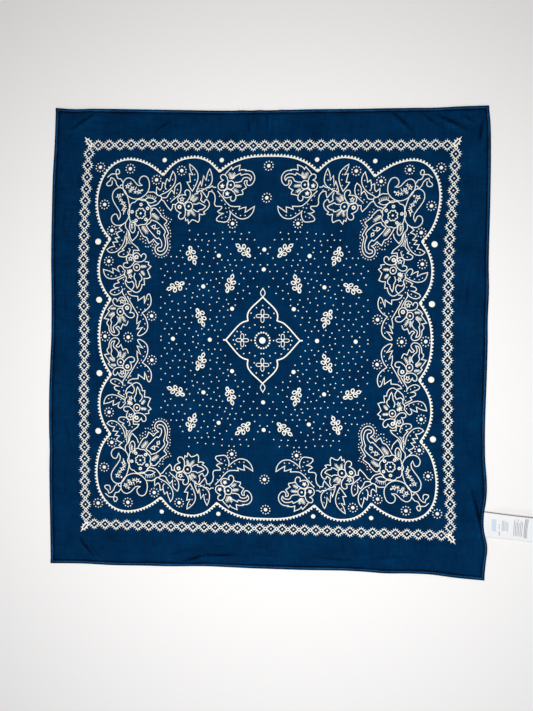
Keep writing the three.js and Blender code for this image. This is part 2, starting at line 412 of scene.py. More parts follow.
def slim(points):
    # leaves out the points that lie on a nearly straight part
    kept = points[:1]
    for here, after in zip(points[1:], points[2:]):
        last = kept[-1]
        reach = math.dist(last, after)
        dx, dy = after[0] - last[0], after[1] - last[1]
        off = abs(dx * (here[1] - last[1]) - dy * (here[0] - last[0])) / max(reach, 0.01)
        if off > 0.15 or reach > 7.0:  # mm
            kept.append(here)
    return kept + points[-1:]


def outline(points, width=None, closed=False, step=1.9):
    (loop if closed else line)(slim(flow(points, step, closed)), width)


def sideways(points, i):
    a, b = points[max(0, i - 1)], points[min(len(points) - 1, i + 1)]
    dx, dy = b[0] - a[0], b[1] - a[1]
    size = math.hypot(dx, dy) or 1
    return -dy / size, dx / size


def diamond(centre, upright):
    # a diamond of the border: a dark middle with a dot, a band round it, and rays on both sides
    stretch = 1.06 if upright else 1.0
    outer = [(-5.2, 0.35), (-3.95, 1.65), (-5.5, 4.2), (-3.1, 2.8), (-2.25, 3.55), (-3.0, 6.2),
             (-1.15, 4.7), (-0.55, 5.1), (0.0, 7.7), (0.55, 5.1), (1.15, 4.7), (3.0, 6.2), (2.25, 3.55),
             (3.1, 2.8), (5.5, 4.2), (3.95, 1.65), (5.2, 0.35)]
    inner = [(4.8, 0.0), (0.0, 4.45), (-4.8, 0.0)]
    for flip in (1, -1):
        half = [(x * stretch, y * flip) for x, y in outer + inner]
        fill(placed(half, centre, 90 if upright else 0))
    dot(centre, 1.0, 6)


dotRingValues = {"middle": 2.1, "radius": 5.2, "count": 10, "small": 0.8}  # mm


def dotRing(centre):
    dot(centre, dotRingValues["middle"], 10)
    for i in range(dotRingValues["count"]):
        spot = polar(centre, dotRingValues["radius"], 360 * i / dotRingValues["count"] + 90)
        dot(spot, dotRingValues["small"], 5)


def lobedRing(centre, radius, rise, lobes, count, squash):
    # a ring of rounded lobes that rise above its radius
    spots = []
    for i in range(count):
        lobe = abs(math.sin(math.pi * lobes * i / count))
        spots.append(polar(centre, radius + rise * lobe, 360 * i / count, squash))
    loop(spots)


scallopValues = {
    "bead": 3.95,  # mm, from one bead to the next
    "beadShape": [(0.19, 0.7), (0.27, 2.1), (0.5, 2.85), (0.73, 2.1), (0.81, 0.7)],  # share along, mm out
}


def scallopLine(points, outward):
    # the solid line of the scallop, with half-round beads on its outer side
    path = smooth(points, scallopValues["bead"])
    half = inkSizes["scallop"] / 2 * outward
    smoothSide, beadSide = [], []
    for i, (x, y) in enumerate(path):
        nx, ny = sideways(path, i)
        smoothSide.append((x - nx * half, y - ny * half))
        if i == len(path) - 1:
            beadSide.append((x + nx * half, y + ny * half))
            break
        nx, ny = sideways([path[i], path[i + 1]], 0)
        dx, dy = path[i + 1][0] - x, path[i + 1][1] - y
        for share, reach in scallopValues["beadShape"]:
            out = reach * outward
            beadSide.append((x + dx * share + nx * out, y + dy * share + ny * out))
    fill(smoothSide + beadSide[::-1])


# A bud lies behind a flower: a round head that runs on into a smaller lobe, with a sharp notch between
# them. Here x runs from the head's middle to the lobe's, 9.9 mm away, and the notch is on the y side.
budShape = [(6.5, -0.6, 1), (5.5, 0.9), (4.2, 3.0), (1.8, 4.8), (-1.0, 5.1), (-3.6, 3.6), (-4.9, 0.6),
            (-4.5, -2.4), (-3.2, -4.6), (-0.6, -5.8), (2.8, -6.4), (6.6, -6.1), (10.2, -4.7), (12.5, -2.1),
            (12.9, 0.7), (11.5, 2.7), (9.3, 3.0), (7.3, 1.6)]


def bud(head, lobe, side, mark):
    reach = math.dist(head, lobe)
    turn = math.degrees(math.atan2(lobe[1] - head[1], lobe[0] - head[0]))
    outline(placed([(p[0] * reach / 9.9, *p[1:]) for p in budShape], head, turn, 1.0, side), None, True)
    if mark == "star":
        fill([polar(head, 3.0 if i % 2 == 0 else 1.6, 90 + 36 * i) for i in range(10)])
    elif mark == "spiked":
        floret(head, 1.7, 5, 90)
    else:
        ring(head, 1.8, 1.4, 7)


def floret(centre, radius=1.5, spikes=5, turn=0):
    ring(centre, radius, 0.9, 7)
    for i in range(spikes):
        angle = turn + 360 * i / spikes
        line([polar(centre, radius, angle), polar(centre, radius + 1.9, angle)], *inkSizes["spike"])


def spark(centre, spikes=5, reach=2.3, turn=0):
    for i in range(spikes):
        line([centre, polar(centre, reach, turn + 360 * i / spikes)], *inkSizes["spike"])


def feather(base, tip, wide, strokes=5):
    # a tuft of fine strokes that fan out from a petal's root
    turn = math.degrees(math.atan2(tip[1] - base[1], tip[0] - base[0]))
    length = math.dist(base, tip)
    line([base, tip], *inkSizes["spike"])
    for k in range(strokes):
        t = 0.02 + 0.78 * k / strokes
        for side in (1, -1):
            y = wide * (1 - 0.35 * t) * side
            line(placed([(t * length, 0), ((t + 0.22) * length, y)], base, turn), *inkSizes["hair"])


def leaf(base, tip, side, teeth, belly, full, spots):
    # one smooth edge, one toothed, dots along the middle; each tooth: how far along, how far out, how much
    # its notch lies back and how deep it is, all as shares of the length
    length = math.dist(base, tip)
    turn = math.degrees(math.atan2(tip[1] - base[1], tip[0] - base[0]))
    first = teeth[0]
    shape = [(0, 0, 1), (first[0] * 0.5, first[1] * 0.45 + 0.02)]
    for along, out, back, deep in teeth:
        shape += [(along, out, 1), (along - back, out - deep, 1)]
    last = shape[-1]
    shape += [((last[0] + 1) / 2, last[1] / 2 + 0.035), (1, 0, 1)]
    for t in (0.93, 0.8, 0.65, 0.5, 0.35, 0.2, 0.08):
        shape.append((t, -belly * max(0.0, math.sin(math.pi * t ** full)) ** 0.85))
    outline(placed(shape, base, turn, length, side), None, True)
    for k in range(spots):
        t = 0.2 + 0.6 * k / max(1, spots - 1)
        dots(placed([(t, -belly * 0.55 * math.sin(math.pi * t ** full))], base, turn, length, side))


# Two of the flowers open a pointed petal and two a petal that curls over. Every flower has an oval eye,
# two buds behind it, the outline of its petals, the petal inside and tufts of fine strokes.
flowers = [
    {
        "eye": (-92.7, 158.1), "reach": 4.8,
        "buds": [
            ((-101.3, 166.2), (-95.6, 174.4), 1, "spiked"),
            ((-103.6, 157.0), (-101.4, 146.0), -1, "ring"),
        ],
        "rim": [
            (-96.0, 144.6), (-95.6, 141.0, 1), (-93.0, 142.2, 1), (-92.0, 137.6, 1), (-87.9, 142.3, 1),
            (-83.8, 141.3), (-80.5, 139.3, 1), (-79.0, 142.6), (-79.4, 149.2, 1), (-76.2, 148.4),
            (-72.8, 149.4, 1), (-74.5, 151.8, 1), (-71.6, 153.8), (-69.0, 156.8), (-67.9, 160.8),
            (-69.4, 164.6), (-72.2, 166.6), (-73.9, 165.0), (-74.0, 163.0), (-76.4, 163.6),
            (-79.0, 166.0, 1), (-77.9, 168.8), (-78.3, 172.0), (-79.6, 174.6),
        ],
        "inner": [
            [(-87.3, 160.8), (-83.0, 160.8), (-80.8, 162.6, 1), (-77.0, 161.0), (-72.3, 158.4, 1),
             (-75.0, 155.2), (-80.0, 153.9), (-80.4, 152.0, 1), (-83.6, 152.4), (-87.0, 154.6)],
        ],
        "feathers": [
            ((-91.6, 153.4), (-93.0, 146.0), 2.0, 4), ((-90.0, 153.6), (-84.2, 146.6), 2.2, 4),
            ((-90.8, 165.0), (-86.8, 172.4), 2.6, 5), ((-88.4, 163.8), (-82.0, 169.2), 2.2, 4),
        ],
        "florets": [],
    },
    {
        "eye": (-44.1, 183.8), "reach": 4.7,
        "buds": [
            ((-54.1, 182.6), (-53.9, 193.0), 1, "star"), ((-47.6, 173.7), (-40.2, 167.9), -1, "star"),
        ],
        "rim": [
            (-51.6, 196.0), (-49.2, 199.3), (-46.8, 201.6), (-44.2, 204.8, 1), (-42.6, 201.8, 1),
            (-40.2, 204.6), (-34.2, 207.3, 1), (-35.1, 200.8, 1), (-31.6, 202.0), (-26.6, 201.7, 1),
            (-27.2, 200.6, 1), (-23.4, 200.7), (-19.6, 199.2), (-16.8, 195.8), (-15.9, 191.6),
            (-17.0, 187.4), (-19.6, 184.2), (-22.6, 183.2), (-25.0, 185.4), (-24.7, 189.1, 1),
            (-27.0, 189.1, 1), (-28.3, 186.4), (-26.4, 183.4), (-25.2, 181.0, 1), (-30.6, 177.5, 1),
            (-28.9, 175.4), (-29.0, 173.0, 1), (-32.6, 172.6), (-36.8, 171.2),
        ],
        "inner": [
            [(-42.2, 191.2), (-40.2, 194.0), (-36.7, 195.9), (-33.3, 197.6, 1), (-32.3, 195.2, 1),
             (-28.6, 196.6), (-24.6, 196.8), (-21.2, 195.2), (-19.6, 192.4), (-21.0, 189.1, 1),
             (-22.6, 191.8), (-26.0, 192.9), (-29.6, 192.0), (-31.6, 188.4, 1), (-35.4, 187.0),
             (-39.2, 187.0)],
        ],
        "feathers": [
            ((-43.0, 191.0), (-47.0, 198.6), 2.6, 5), ((-42.0, 191.6), (-40.4, 199.0), 2.2, 4),
            ((-38.8, 183.0), (-30.8, 182.4), 2.0, 5), ((-39.8, 178.6), (-33.8, 175.0), 2.2, 4),
        ],
        "florets": [],
    },
    {
        "eye": (-153.4, 83.3), "reach": 3.9,
        "buds": [
            ((-161.2, 93.5), (-166.6, 85.6), -1, "spiked"), ((-153.8, 95.6), (-145.0, 96.8), 1, "ring"),
        ],
        "rim": [
            (-143.6, 90.6), (-138.7, 89.8, 1), (-139.4, 86.8, 1), (-136.0, 84.6, 1), (-140.2, 80.2, 1),
            (-139.1, 77.0), (-136.6, 71.8, 1), (-140.4, 70.2), (-144.4, 70.1, 1), (-144.0, 66.4),
            (-143.7, 62.4, 1), (-146.8, 62.7, 1), (-147.4, 59.0), (-149.6, 55.2), (-153.8, 53.0),
            (-157.4, 54.2), (-161.6, 57.2), (-165.4, 60.6), (-167.3, 65.2), (-166.2, 68.0, 1),
            (-165.8, 71.2), (-167.8, 72.9, 1), (-168.1, 76.4), (-167.2, 79.4),
        ],
        "inner": [
            [(-166.2, 68.0), (-165.0, 65.6), (-162.8, 64.8), (-158.7, 66.4, 1), (-156.8, 63.2),
             (-156.9, 59.8), (-159.6, 56.0)],
            [(-155.2, 76.2), (-156.5, 71.4), (-154.3, 66.8, 1), (-154.1, 62.2), (-152.7, 58.2, 1),
             (-150.4, 62.2), (-149.6, 66.2, 1), (-147.0, 68.6), (-147.4, 72.4), (-150.2, 76.0)],
        ],
        "feathers": [
            ((-148.6, 84.3), (-141.2, 84.6), 1.9, 5), ((-147.8, 79.0), (-143.4, 73.6), 2.0, 5),
            ((-159.0, 80.0), (-165.0, 74.8), 2.2, 5),
        ],
        "florets": [(-162.6, 78.0), (-161.0, 72.2)],
    },
    {
        "eye": (-173.8, 29.4), "reach": 4.1,
        "buds": [
            ((-171.8, 41.9), (-180.3, 42.3), -1, "spiked"), ((-165.5, 34.2), (-159.8, 25.9), 1, "ring"),
        ],
        "rim": [
            (-182.8, 37.2), (-186.0, 35.4), (-189.0, 31.8, 1), (-187.3, 30.0, 1), (-190.6, 25.6),
            (-193.7, 21.2, 1), (-188.0, 20.0, 1), (-190.2, 17.2), (-190.4, 14.6), (-188.3, 12.4, 1),
            (-187.8, 7.2), (-185.3, 3.2), (-181.4, 1.3), (-177.6, 1.7), (-175.4, 4.8), (-177.0, 8.0),
            (-179.6, 10.4, 1), (-177.1, 12.2), (-175.4, 10.6), (-173.5, 8.7, 1), (-170.9, 15.0, 1),
            (-168.6, 13.4), (-166.2, 14.0), (-164.4, 18.6),
        ],
        "inner": [
            [(-180.6, 26.2), (-183.6, 23.6), (-185.8, 19.6), (-184.6, 16.4, 1), (-185.7, 12.4),
             (-185.4, 7.4), (-183.6, 5.2), (-181.0, 4.8, 1), (-182.4, 8.0), (-182.6, 11.4),
             (-179.2, 14.2, 1), (-176.9, 17.2), (-176.4, 20.6), (-178.2, 24.0)],
        ],
        "feathers": [
            ((-179.4, 33.4), (-186.6, 33.0), 1.8, 4), ((-181.0, 28.0), (-188.4, 24.2), 2.2, 5),
            ((-174.4, 23.6), (-174.6, 15.6), 1.9, 4), ((-172.0, 24.4), (-167.6, 17.0), 2.2, 4),
        ],
        "florets": [],
    },
]


def flower(values):
    ring(values["eye"], values["reach"], inkSizes["line"], 12, 1.08)
    dot(values["eye"], 1.3, 7)
    for head, lobe, side, mark in values["buds"]:
        bud(head, lobe, side, mark)
    outline(values["rim"])
    for points in values["inner"]:
        outline(points)
    for base, tip, wide, strokes in values["feathers"]:
        feather(base, tip, wide, strokes)
    for spot in values["florets"]:
        floret(spot, 1.4, 5)


def spray(centre, turn, flip):
    # six loops on a short stem: one at the tip, two pairs and one at the foot
    for x, y, angle in ((8.4, 0.7, 0), (3.2, 3.1, 45), (2.4, -3.2, -40), (-3.4, 3.3, 45), (-4.4, -3.4, -45),
                        (-8.8, 1.2, 10)):
        around = [(2.5 * math.cos(math.tau * k / 8), 1.8 * math.sin(math.tau * k / 8)) for k in range(8)]
        loop(placed(placed(around, (x, y), angle), centre, turn, 1.0, flip), 1.15)
    line(placed([(-10.6, 0.8), (-7.6, -0.2), (-2.4, -0.4), (2.6, -0.3), (6.6, 0.4)],
                centre, turn, 1.0, flip), 0.9)
    line(placed([(11.0, 0.8), (12.4, 1.0)], centre, turn, 1.0, flip), 1.0, 0.6)


def crossOfLoops(centre):
    petal = [(-3.4, 1.3), (-1.0, 1.9), (1.4, 1.9), (2.9, 1.2), (3.5, 0.0), (2.9, -1.2), (1.4, -1.9),
             (-1.0, -1.9), (-3.4, -1.3)]
    for angle in (0, 90, 180, 270):
        loop(placed(petal, polar(centre, 4.3, angle), angle), inkSizes["fine"])


borderValues = {"count": 16, "across": 13.43, "along": 14.19, "ring": 1.7, "ringWidth": 1.15}  # mm


def borderRing(centre):
    ring(centre, borderValues["ring"], borderValues["ringWidth"], 8)


def drawBorder():
    # diamonds with a small ring between each two
    left, top = -printValues["across"], printValues["along"]
    for k in range(borderValues["count"]):
        diamond((-(k + 0.5) * borderValues["across"], top), False)
        borderRing((-(k + 1) * borderValues["across"], top))
    borderRing((0.0, top))
    for k in range(borderValues["count"]):
        diamond((left, (k + 0.5) * borderValues["along"]), True)
        borderRing((left, (k + 1) * borderValues["along"]))
    borderRing((left, 0.0))
    # the corner's leaf points outward, with rays
    outer = [(-5.4, 0.5), (-4.2, 1.7), (-3.4, 3.8), (-2.4, 2.3), (-0.6, 2.6), (0.2, 4.8), (1.2, 2.6),
             (2.8, 2.2), (4.4, 3.9), (4.4, 1.4), (6.6, 0.55), (9.4, 0.0)]
    inner = [(4.0, 0.0), (3.2, 0.9), (-2.6, 0.9), (-3.4, 0.0)]
    for flip in (1, -1):
        fill(placed([(x, y * flip) for x, y in outer + inner], (-219.3, 233.2), 128))


def drawScallop():
    corner = [(-125.9, 193.2), (-138.5, 202.4), (-153.0, 209.3), (-168.0, 212.0), (-181.1, 209.4),
              (-191.8, 201.6), (-199.4, 189.5), (-203.0, 175.0), (-203.6, 161.6), (-201.8, 147.6),
              (-198.3, 135.6), (-192.9, 125.4), (-185.8, 116.9)]
    scallopLine(corner, -1)
    scallopLine([(-125.9, 193.2), (-115.4, 205.6), (-104.2, 212.8), (-90.4, 215.4), (-80.4, 214.2),
                 (-70.0, 209.4), (-58.4, 198.8)], 1)
    scallopLine([(-58.4, 198.8), (-46.3, 208.0), (-31.9, 214.3), (-17.3, 217.0), (0.0, 217.6)], 1)
    scallopLine([(-185.8, 116.9), (-193.2, 105.3), (-197.8, 92.2), (-199.0, 80.0), (-197.4, 67.0),
                 (-192.2, 55.0), (-184.9, 44.4)], -1)
    scallopLine([(-184.9, 44.4), (-193.0, 31.7), (-197.9, 18.0), (-199.8, 0.0)], -1)
    for centre in ((-125.4, 211.5), (-56.8, 212.9)):
        dot(centre, 2.6, 12)
    for centre in ((-201.1, 113.9), (-199.6, 43.6)):
        dot(centre, 3.6, 12)


def drawDotRings():
    for centre in ((-202.9, 203.5), (-166.3, 201.0), (-133.7, 188.0), (-194.5, 158.6), (-184.8, 127.2),
                   (-103.9, 199.8), (0.0, 206.3), (0.0, 169.0), (-39.0, 138.5), (-187.5, 90.3),
                   (-135.6, 25.6), (-192.9, 0.0), (-164.5, 0.0)):
        dotRing(centre)


def drawCorner():
    # the two paisleys
    outline([(-150.6, 181.2, 1), (-154.0, 183.8), (-154.6, 187.8), (-152.4, 191.2), (-149.0, 192.4),
             (-145.2, 190.8), (-142.8, 186.6), (-141.8, 180.4), (-143.2, 173.4), (-149.0, 167.4),
             (-155.6, 164.9), (-162.4, 165.9), (-168.6, 169.8), (-172.9, 176.0), (-174.2, 182.6),
             (-172.2, 188.0), (-167.6, 190.2), (-162.6, 188.2), (-159.0, 184.4), (-155.4, 181.2)],
            None, True)
    floret((-168.2, 180.2), 1.5, 5, 20)
    floret((-162.4, 177.4), 1.5, 5, 50)
    floret((-154.0, 173.6), 1.6, 5, 250)
    spark((-164.9, 183.2), 4, 2.4, 80)
    spark((-164.6, 174.4), 5, 2.3, 20)
    spark((-158.4, 173.2), 5, 2.4, 10)
    line([(-158.8, 176.4), (-157.2, 179.6)], 0.9, 0.6)
    dot((-150.4, 175.4), 1.2, 7)
    outline([(-176.7, 140.2, 1), (-174.8, 143.8), (-175.4, 148.8), (-178.6, 154.2), (-183.1, 160.6),
             (-185.8, 167.4), (-185.0, 173.6), (-181.2, 177.6), (-176.2, 178.3), (-171.3, 175.0),
             (-167.6, 168.6), (-165.1, 160.6), (-163.8, 152.4), (-164.3, 144.6), (-167.6, 137.6),
             (-173.2, 133.8), (-179.6, 133.4), (-184.4, 137.0), (-185.6, 142.0), (-183.3, 146.2),
             (-179.3, 146.4)], None, True)
    floret((-178.0, 168.4), 1.6, 5, 200)
    dot((-173.4, 170.2), 1.2, 7)
    spark((-175.4, 163.6), 5, 2.6, 15)
    floret((-172.2, 159.8), 1.5, 4, 20)
    spark((-169.8, 156.4), 4, 2.4, 60)
    floret((-170.6, 152.4), 1.6, 4, 20)
    line([(-170.8, 150.4), (-171.0, 146.4)], 0.9)
    # the sprig towards the corner
    outline([(-174.2, 184.6, 1), (-177.4, 189.0), (-180.6, 189.4), (-182.4, 192.4), (-183.2, 195.0, 1),
             (-188.0, 195.2), (-190.6, 193.9), (-193.6, 191.2)])
    outline([(-183.2, 195.0, 1), (-183.6, 198.6), (-181.8, 201.0), (-179.8, 199.2), (-179.0, 196.8),
             (-180.4, 194.8)], None, True)
    outline([(-179.0, 179.2, 1), (-181.8, 182.6), (-183.2, 186.4), (-186.2, 189.6), (-189.4, 190.6, 1),
             (-190.4, 187.0), (-193.8, 184.2), (-193.4, 181.6), (-189.8, 181.0), (-187.4, 182.6),
             (-187.4, 187.0)])
    outline([(-177.4, 179.0), (-177.0, 181.4), (-174.6, 181.8)])
    # the rosette
    lobedRing((-151.4, 148.8), 12.9, 1.5, 9, 48, 1.1)
    lobedRing((-150.2, 147.8), 4.8, 1.3, 8, 32, 1.06)
    dot((-150.2, 147.9), 1.3, 7)
    for angle in (88, 34, 172, 313, 241):
        ring(polar((-150.6, 148.2), 10.2, angle), 1.45, 1.2, 7)
    # the eye-shaped bud between paisley and garland
    outline([(-142.4, 173.2), (-139.6, 173.2), (-136.2, 173.5), (-133.4, 172.0), (-131.0, 169.9),
             (-128.6, 169.0), (-126.9, 168.8), (-125.9, 166.8), (-126.2, 164.9, 1), (-128.4, 161.8),
             (-130.4, 159.3), (-133.6, 157.6), (-139.0, 156.2)])
    outline([(-150.8, 165.0), (-148.0, 164.8), (-145.6, 164.0, 1), (-144.0, 165.8), (-141.2, 166.5),
             (-137.5, 166.0), (-134.6, 164.6), (-132.5, 162.8, 1), (-135.5, 161.1), (-138.8, 160.4),
             (-142.0, 161.0), (-145.6, 164.0, 1), (-142.0, 159.8), (-139.2, 156.6)])
    for k in range(6):
        a = (-143.4 + k * 1.95, 166.9 + 1.1 * math.sin(math.pi * (k + 0.3) / 5) - 0.3 * k)
        line([a, (a[0] + (k - 1.9) * 0.36, a[1] + 2.7)], 0.7, 0.45)
    # the long paisley, its second outline and the dots round it
    outline([(-143.1, 133.6, 1), (-140.0, 128.9), (-134.4, 122.9), (-129.7, 118.3), (-127.6, 119.3, 1),
             (-125.0, 116.4), (-123.6, 113.0), (-123.5, 109.6), (-124.8, 107.7), (-127.4, 107.6),
             (-128.8, 105.5), (-127.0, 103.4), (-123.4, 103.5), (-120.7, 105.8), (-119.3, 110.0),
             (-119.0, 114.6), (-120.2, 119.6), (-121.4, 123.0, 1), (-119.7, 126.4), (-121.3, 129.8),
             (-124.4, 133.2), (-128.2, 136.6), (-132.0, 139.0), (-136.8, 140.2, 1), (-138.4, 137.2),
             (-141.0, 135.4)], None, True)
    outline([(-136.4, 151.6), (-136.2, 153.8, 1), (-134.0, 154.5), (-131.6, 153.6), (-129.2, 151.3),
             (-127.3, 149.0), (-125.8, 147.6, 1), (-126.0, 146.0, 1), (-123.6, 144.0), (-118.0, 140.1, 1),
             (-118.8, 137.7), (-121.2, 135.5, 1), (-118.9, 131.4), (-116.6, 127.2), (-115.7, 124.4),
             (-117.7, 122.4, 1), (-117.6, 119.6), (-116.6, 114.8), (-116.1, 110.0), (-117.2, 105.2),
             (-119.8, 101.4), (-123.6, 99.1), (-127.2, 99.3), (-130.2, 101.4), (-131.8, 105.4),
             (-130.8, 109.0), (-127.3, 112.1, 1), (-130.1, 113.3), (-133.6, 117.4, 1), (-135.9, 114.8),
             (-139.2, 112.6, 1), (-140.6, 116.4), (-142.5, 119.4), (-145.6, 120.2), (-147.6, 123.0),
             (-150.6, 127.6), (-152.8, 132.6)])
    floret((-134.0, 132.1), 1.9, 3, 290)
    floret((-127.8, 125.8), 1.75, 2, 300)
    line([(-132.0, 130.4), (-129.7, 130.1), (-127.2, 131.4)], 0.9, 0.6)
    feather((-136.4, 147.8), (-127.6, 140.8), 2.7, 6)
    feather((-148.0, 132.6), (-140.8, 123.6), 2.7, 6)
    outline([(-159.8, 139.4, 1), (-155.6, 135.4)])
    outline([(-162.6, 137.6), (-163.4, 131.4), (-161.6, 126.2), (-158.6, 124.4), (-156.4, 128.6),
             (-157.2, 134.6)])
    outline([(-165.0, 127.6), (-163.2, 124.0), (-162.0, 118.6), (-159.4, 114.8, 1), (-156.4, 117.8),
             (-153.4, 121.8), (-152.2, 126.4)])
    feather((-160.6, 135.4), (-160.2, 128.4), 1.9, 3)
    # the dots stand round its outer side
    dots([(-127.5, 155.0), (-126.2, 152.0), (-122.9, 152.1), (-122.8, 148.6), (-121.5, 145.6),
          (-118.9, 143.9), (-116.3, 142.8), (-112.9, 141.7), (-114.3, 138.7), (-116.1, 136.3),
          (-118.1, 134.4), (-115.8, 131.8), (-113.9, 128.6), (-113.3, 125.1), (-113.2, 121.5),
          (-115.4, 119.4), (-114.1, 115.9), (-113.8, 112.2), (-113.3, 108.4), (-114.5, 105.1),
          (-115.7, 101.7), (-117.6, 98.7), (-120.2, 97.2), (-123.3, 96.2), (-126.8, 96.0), (-130.5, 97.4),
          (-133.1, 100.3), (-134.7, 103.8), (-134.0, 107.6), (-132.0, 111.0), (-134.9, 111.4),
          (-136.9, 109.2), (-139.8, 108.0), (-143.0, 108.2), (-133.8, 114.2), (-143.2, 112.2),
          (-143.4, 115.8), (-146.4, 114.0), (-146.8, 117.6), (-150.0, 117.0), (-149.6, 120.6)])


def drawLeftGarland():
    outline([(-168.0, 137.2, 1), (-172.2, 134.0), (-176.2, 130.4, 1), (-172.2, 127.0, 1), (-176.4, 125.6),
             (-179.2, 123.2, 1), (-175.2, 118.6, 1), (-180.4, 118.0, 1), (-177.0, 113.4, 1),
             (-183.2, 113.0, 1), (-180.8, 108.0, 1), (-186.0, 107.2), (-190.2, 104.2, 1), (-188.2, 101.8),
             (-184.0, 100.5), (-178.0, 102.0), (-172.2, 107.6), (-169.3, 114.0), (-168.4, 120.8, 1),
             (-166.7, 116.0), (-166.8, 111.0), (-169.0, 107.2), (-171.6, 104.9, 1), (-169.4, 103.2, 1),
             (-173.4, 101.6), (-176.2, 99.2), (-174.8, 96.2), (-170.0, 95.3), (-165.5, 96.6),
             (-163.2, 100.2), (-161.8, 104.6)])
    dots([(-170.0, 125.2), (-167.2, 122.8), (-172.0, 115.4), (-174.6, 109.8), (-178.6, 105.4),
          (-184.2, 103.8), (-169.6, 98.6), (-165.0, 101.2), (-163.2, 105.4), (-159.4, 107.2),
          (-165.0, 112.0)])
    outline([(-168.0, 137.0), (-168.2, 131.4), (-165.0, 127.0), (-163.8, 122.6), (-163.6, 117.8),
             (-161.2, 113.6), (-156.8, 109.9), (-152.8, 106.8), (-151.0, 103.4, 1), (-157.6, 103.7, 1),
             (-158.2, 98.6)])
    outline([(-166.4, 126.4), (-166.2, 119.6), (-164.6, 114.2), (-161.8, 111.0)], inkSizes["fine"])
    flower(flowers[2])
    # the leaves beside it
    outline([(-168.4, 79.4), (-171.4, 83.6), (-174.2, 84.8), (-176.6, 82.4), (-174.4, 77.4, 1),
             (-178.6, 80.2), (-182.8, 81.6, 1), (-181.8, 75.8, 1), (-187.0, 78.6), (-193.9, 80.4, 1),
             (-193.0, 75.8), (-190.8, 71.8), (-187.0, 69.4), (-181.6, 68.9), (-175.6, 70.6), (-170.2, 73.4),
             (-167.8, 75.4)])
    outline([(-168.2, 71.4, 1), (-172.6, 69.6), (-176.6, 67.2, 1), (-174.6, 64.4, 1), (-179.2, 63.0),
             (-181.4, 60.4), (-179.0, 58.2), (-174.6, 58.8, 1), (-180.0, 56.8), (-184.6, 54.8),
             (-185.9, 52.2), (-183.0, 50.0), (-179.0, 49.6), (-174.4, 51.4), (-171.4, 54.4),
             (-170.4, 57.4)])
    dots([(-188.0, 74.0), (-184.2, 72.0), (-178.6, 72.6), (-173.0, 74.4), (-170.2, 77.6), (-180.2, 52.6),
          (-175.2, 54.8), (-171.8, 59.4), (-169.2, 68.0), (-169.6, 63.4), (-168.2, 57.0)])
    flower(flowers[3])
    outline([(-170.4, 57.4), (-171.2, 53.2), (-168.8, 48.6), (-166.0, 44.4), (-164.0, 40.6)])
    outline([(-159.8, 54.2), (-164.6, 53.8, 1), (-163.2, 51.2), (-160.0, 49.2), (-156.8, 48.6),
             (-152.2, 48.4, 1), (-152.0, 43.4, 1), (-148.2, 45.8), (-144.3, 48.8, 1), (-144.2, 40.2, 1),
             (-142.4, 44.6), (-140.6, 50.0), (-138.2, 51.9), (-136.4, 48.4), (-135.9, 43.2), (-137.4, 37.7),
             (-141.4, 32.8), (-147.2, 28.8, 1), (-144.3, 25.4), (-142.0, 21.0), (-140.6, 15.4),
             (-140.9, 10.4), (-143.0, 6.5), (-147.0, 3.4), (-151.0, 2.0), (-153.2, 3.2), (-150.8, 7.2),
             (-146.6, 11.8, 1), (-153.8, 9.6, 1), (-149.2, 19.4, 1), (-153.8, 15.6, 1), (-153.6, 21.0),
             (-152.4, 26.2, 1), (-155.4, 31.2), (-158.8, 37.0), (-161.6, 42.0), (-165.0, 48.4)])
    dots([(-153.2, 35.2), (-148.8, 32.8), (-150.9, 29.4), (-143.7, 33.0), (-140.0, 39.0), (-139.4, 45.4),
          (-148.2, 26.0), (-145.9, 21.4), (-143.8, 16.0), (-144.6, 10.0), (-166.6, 50.4), (-161.4, 45.6)])


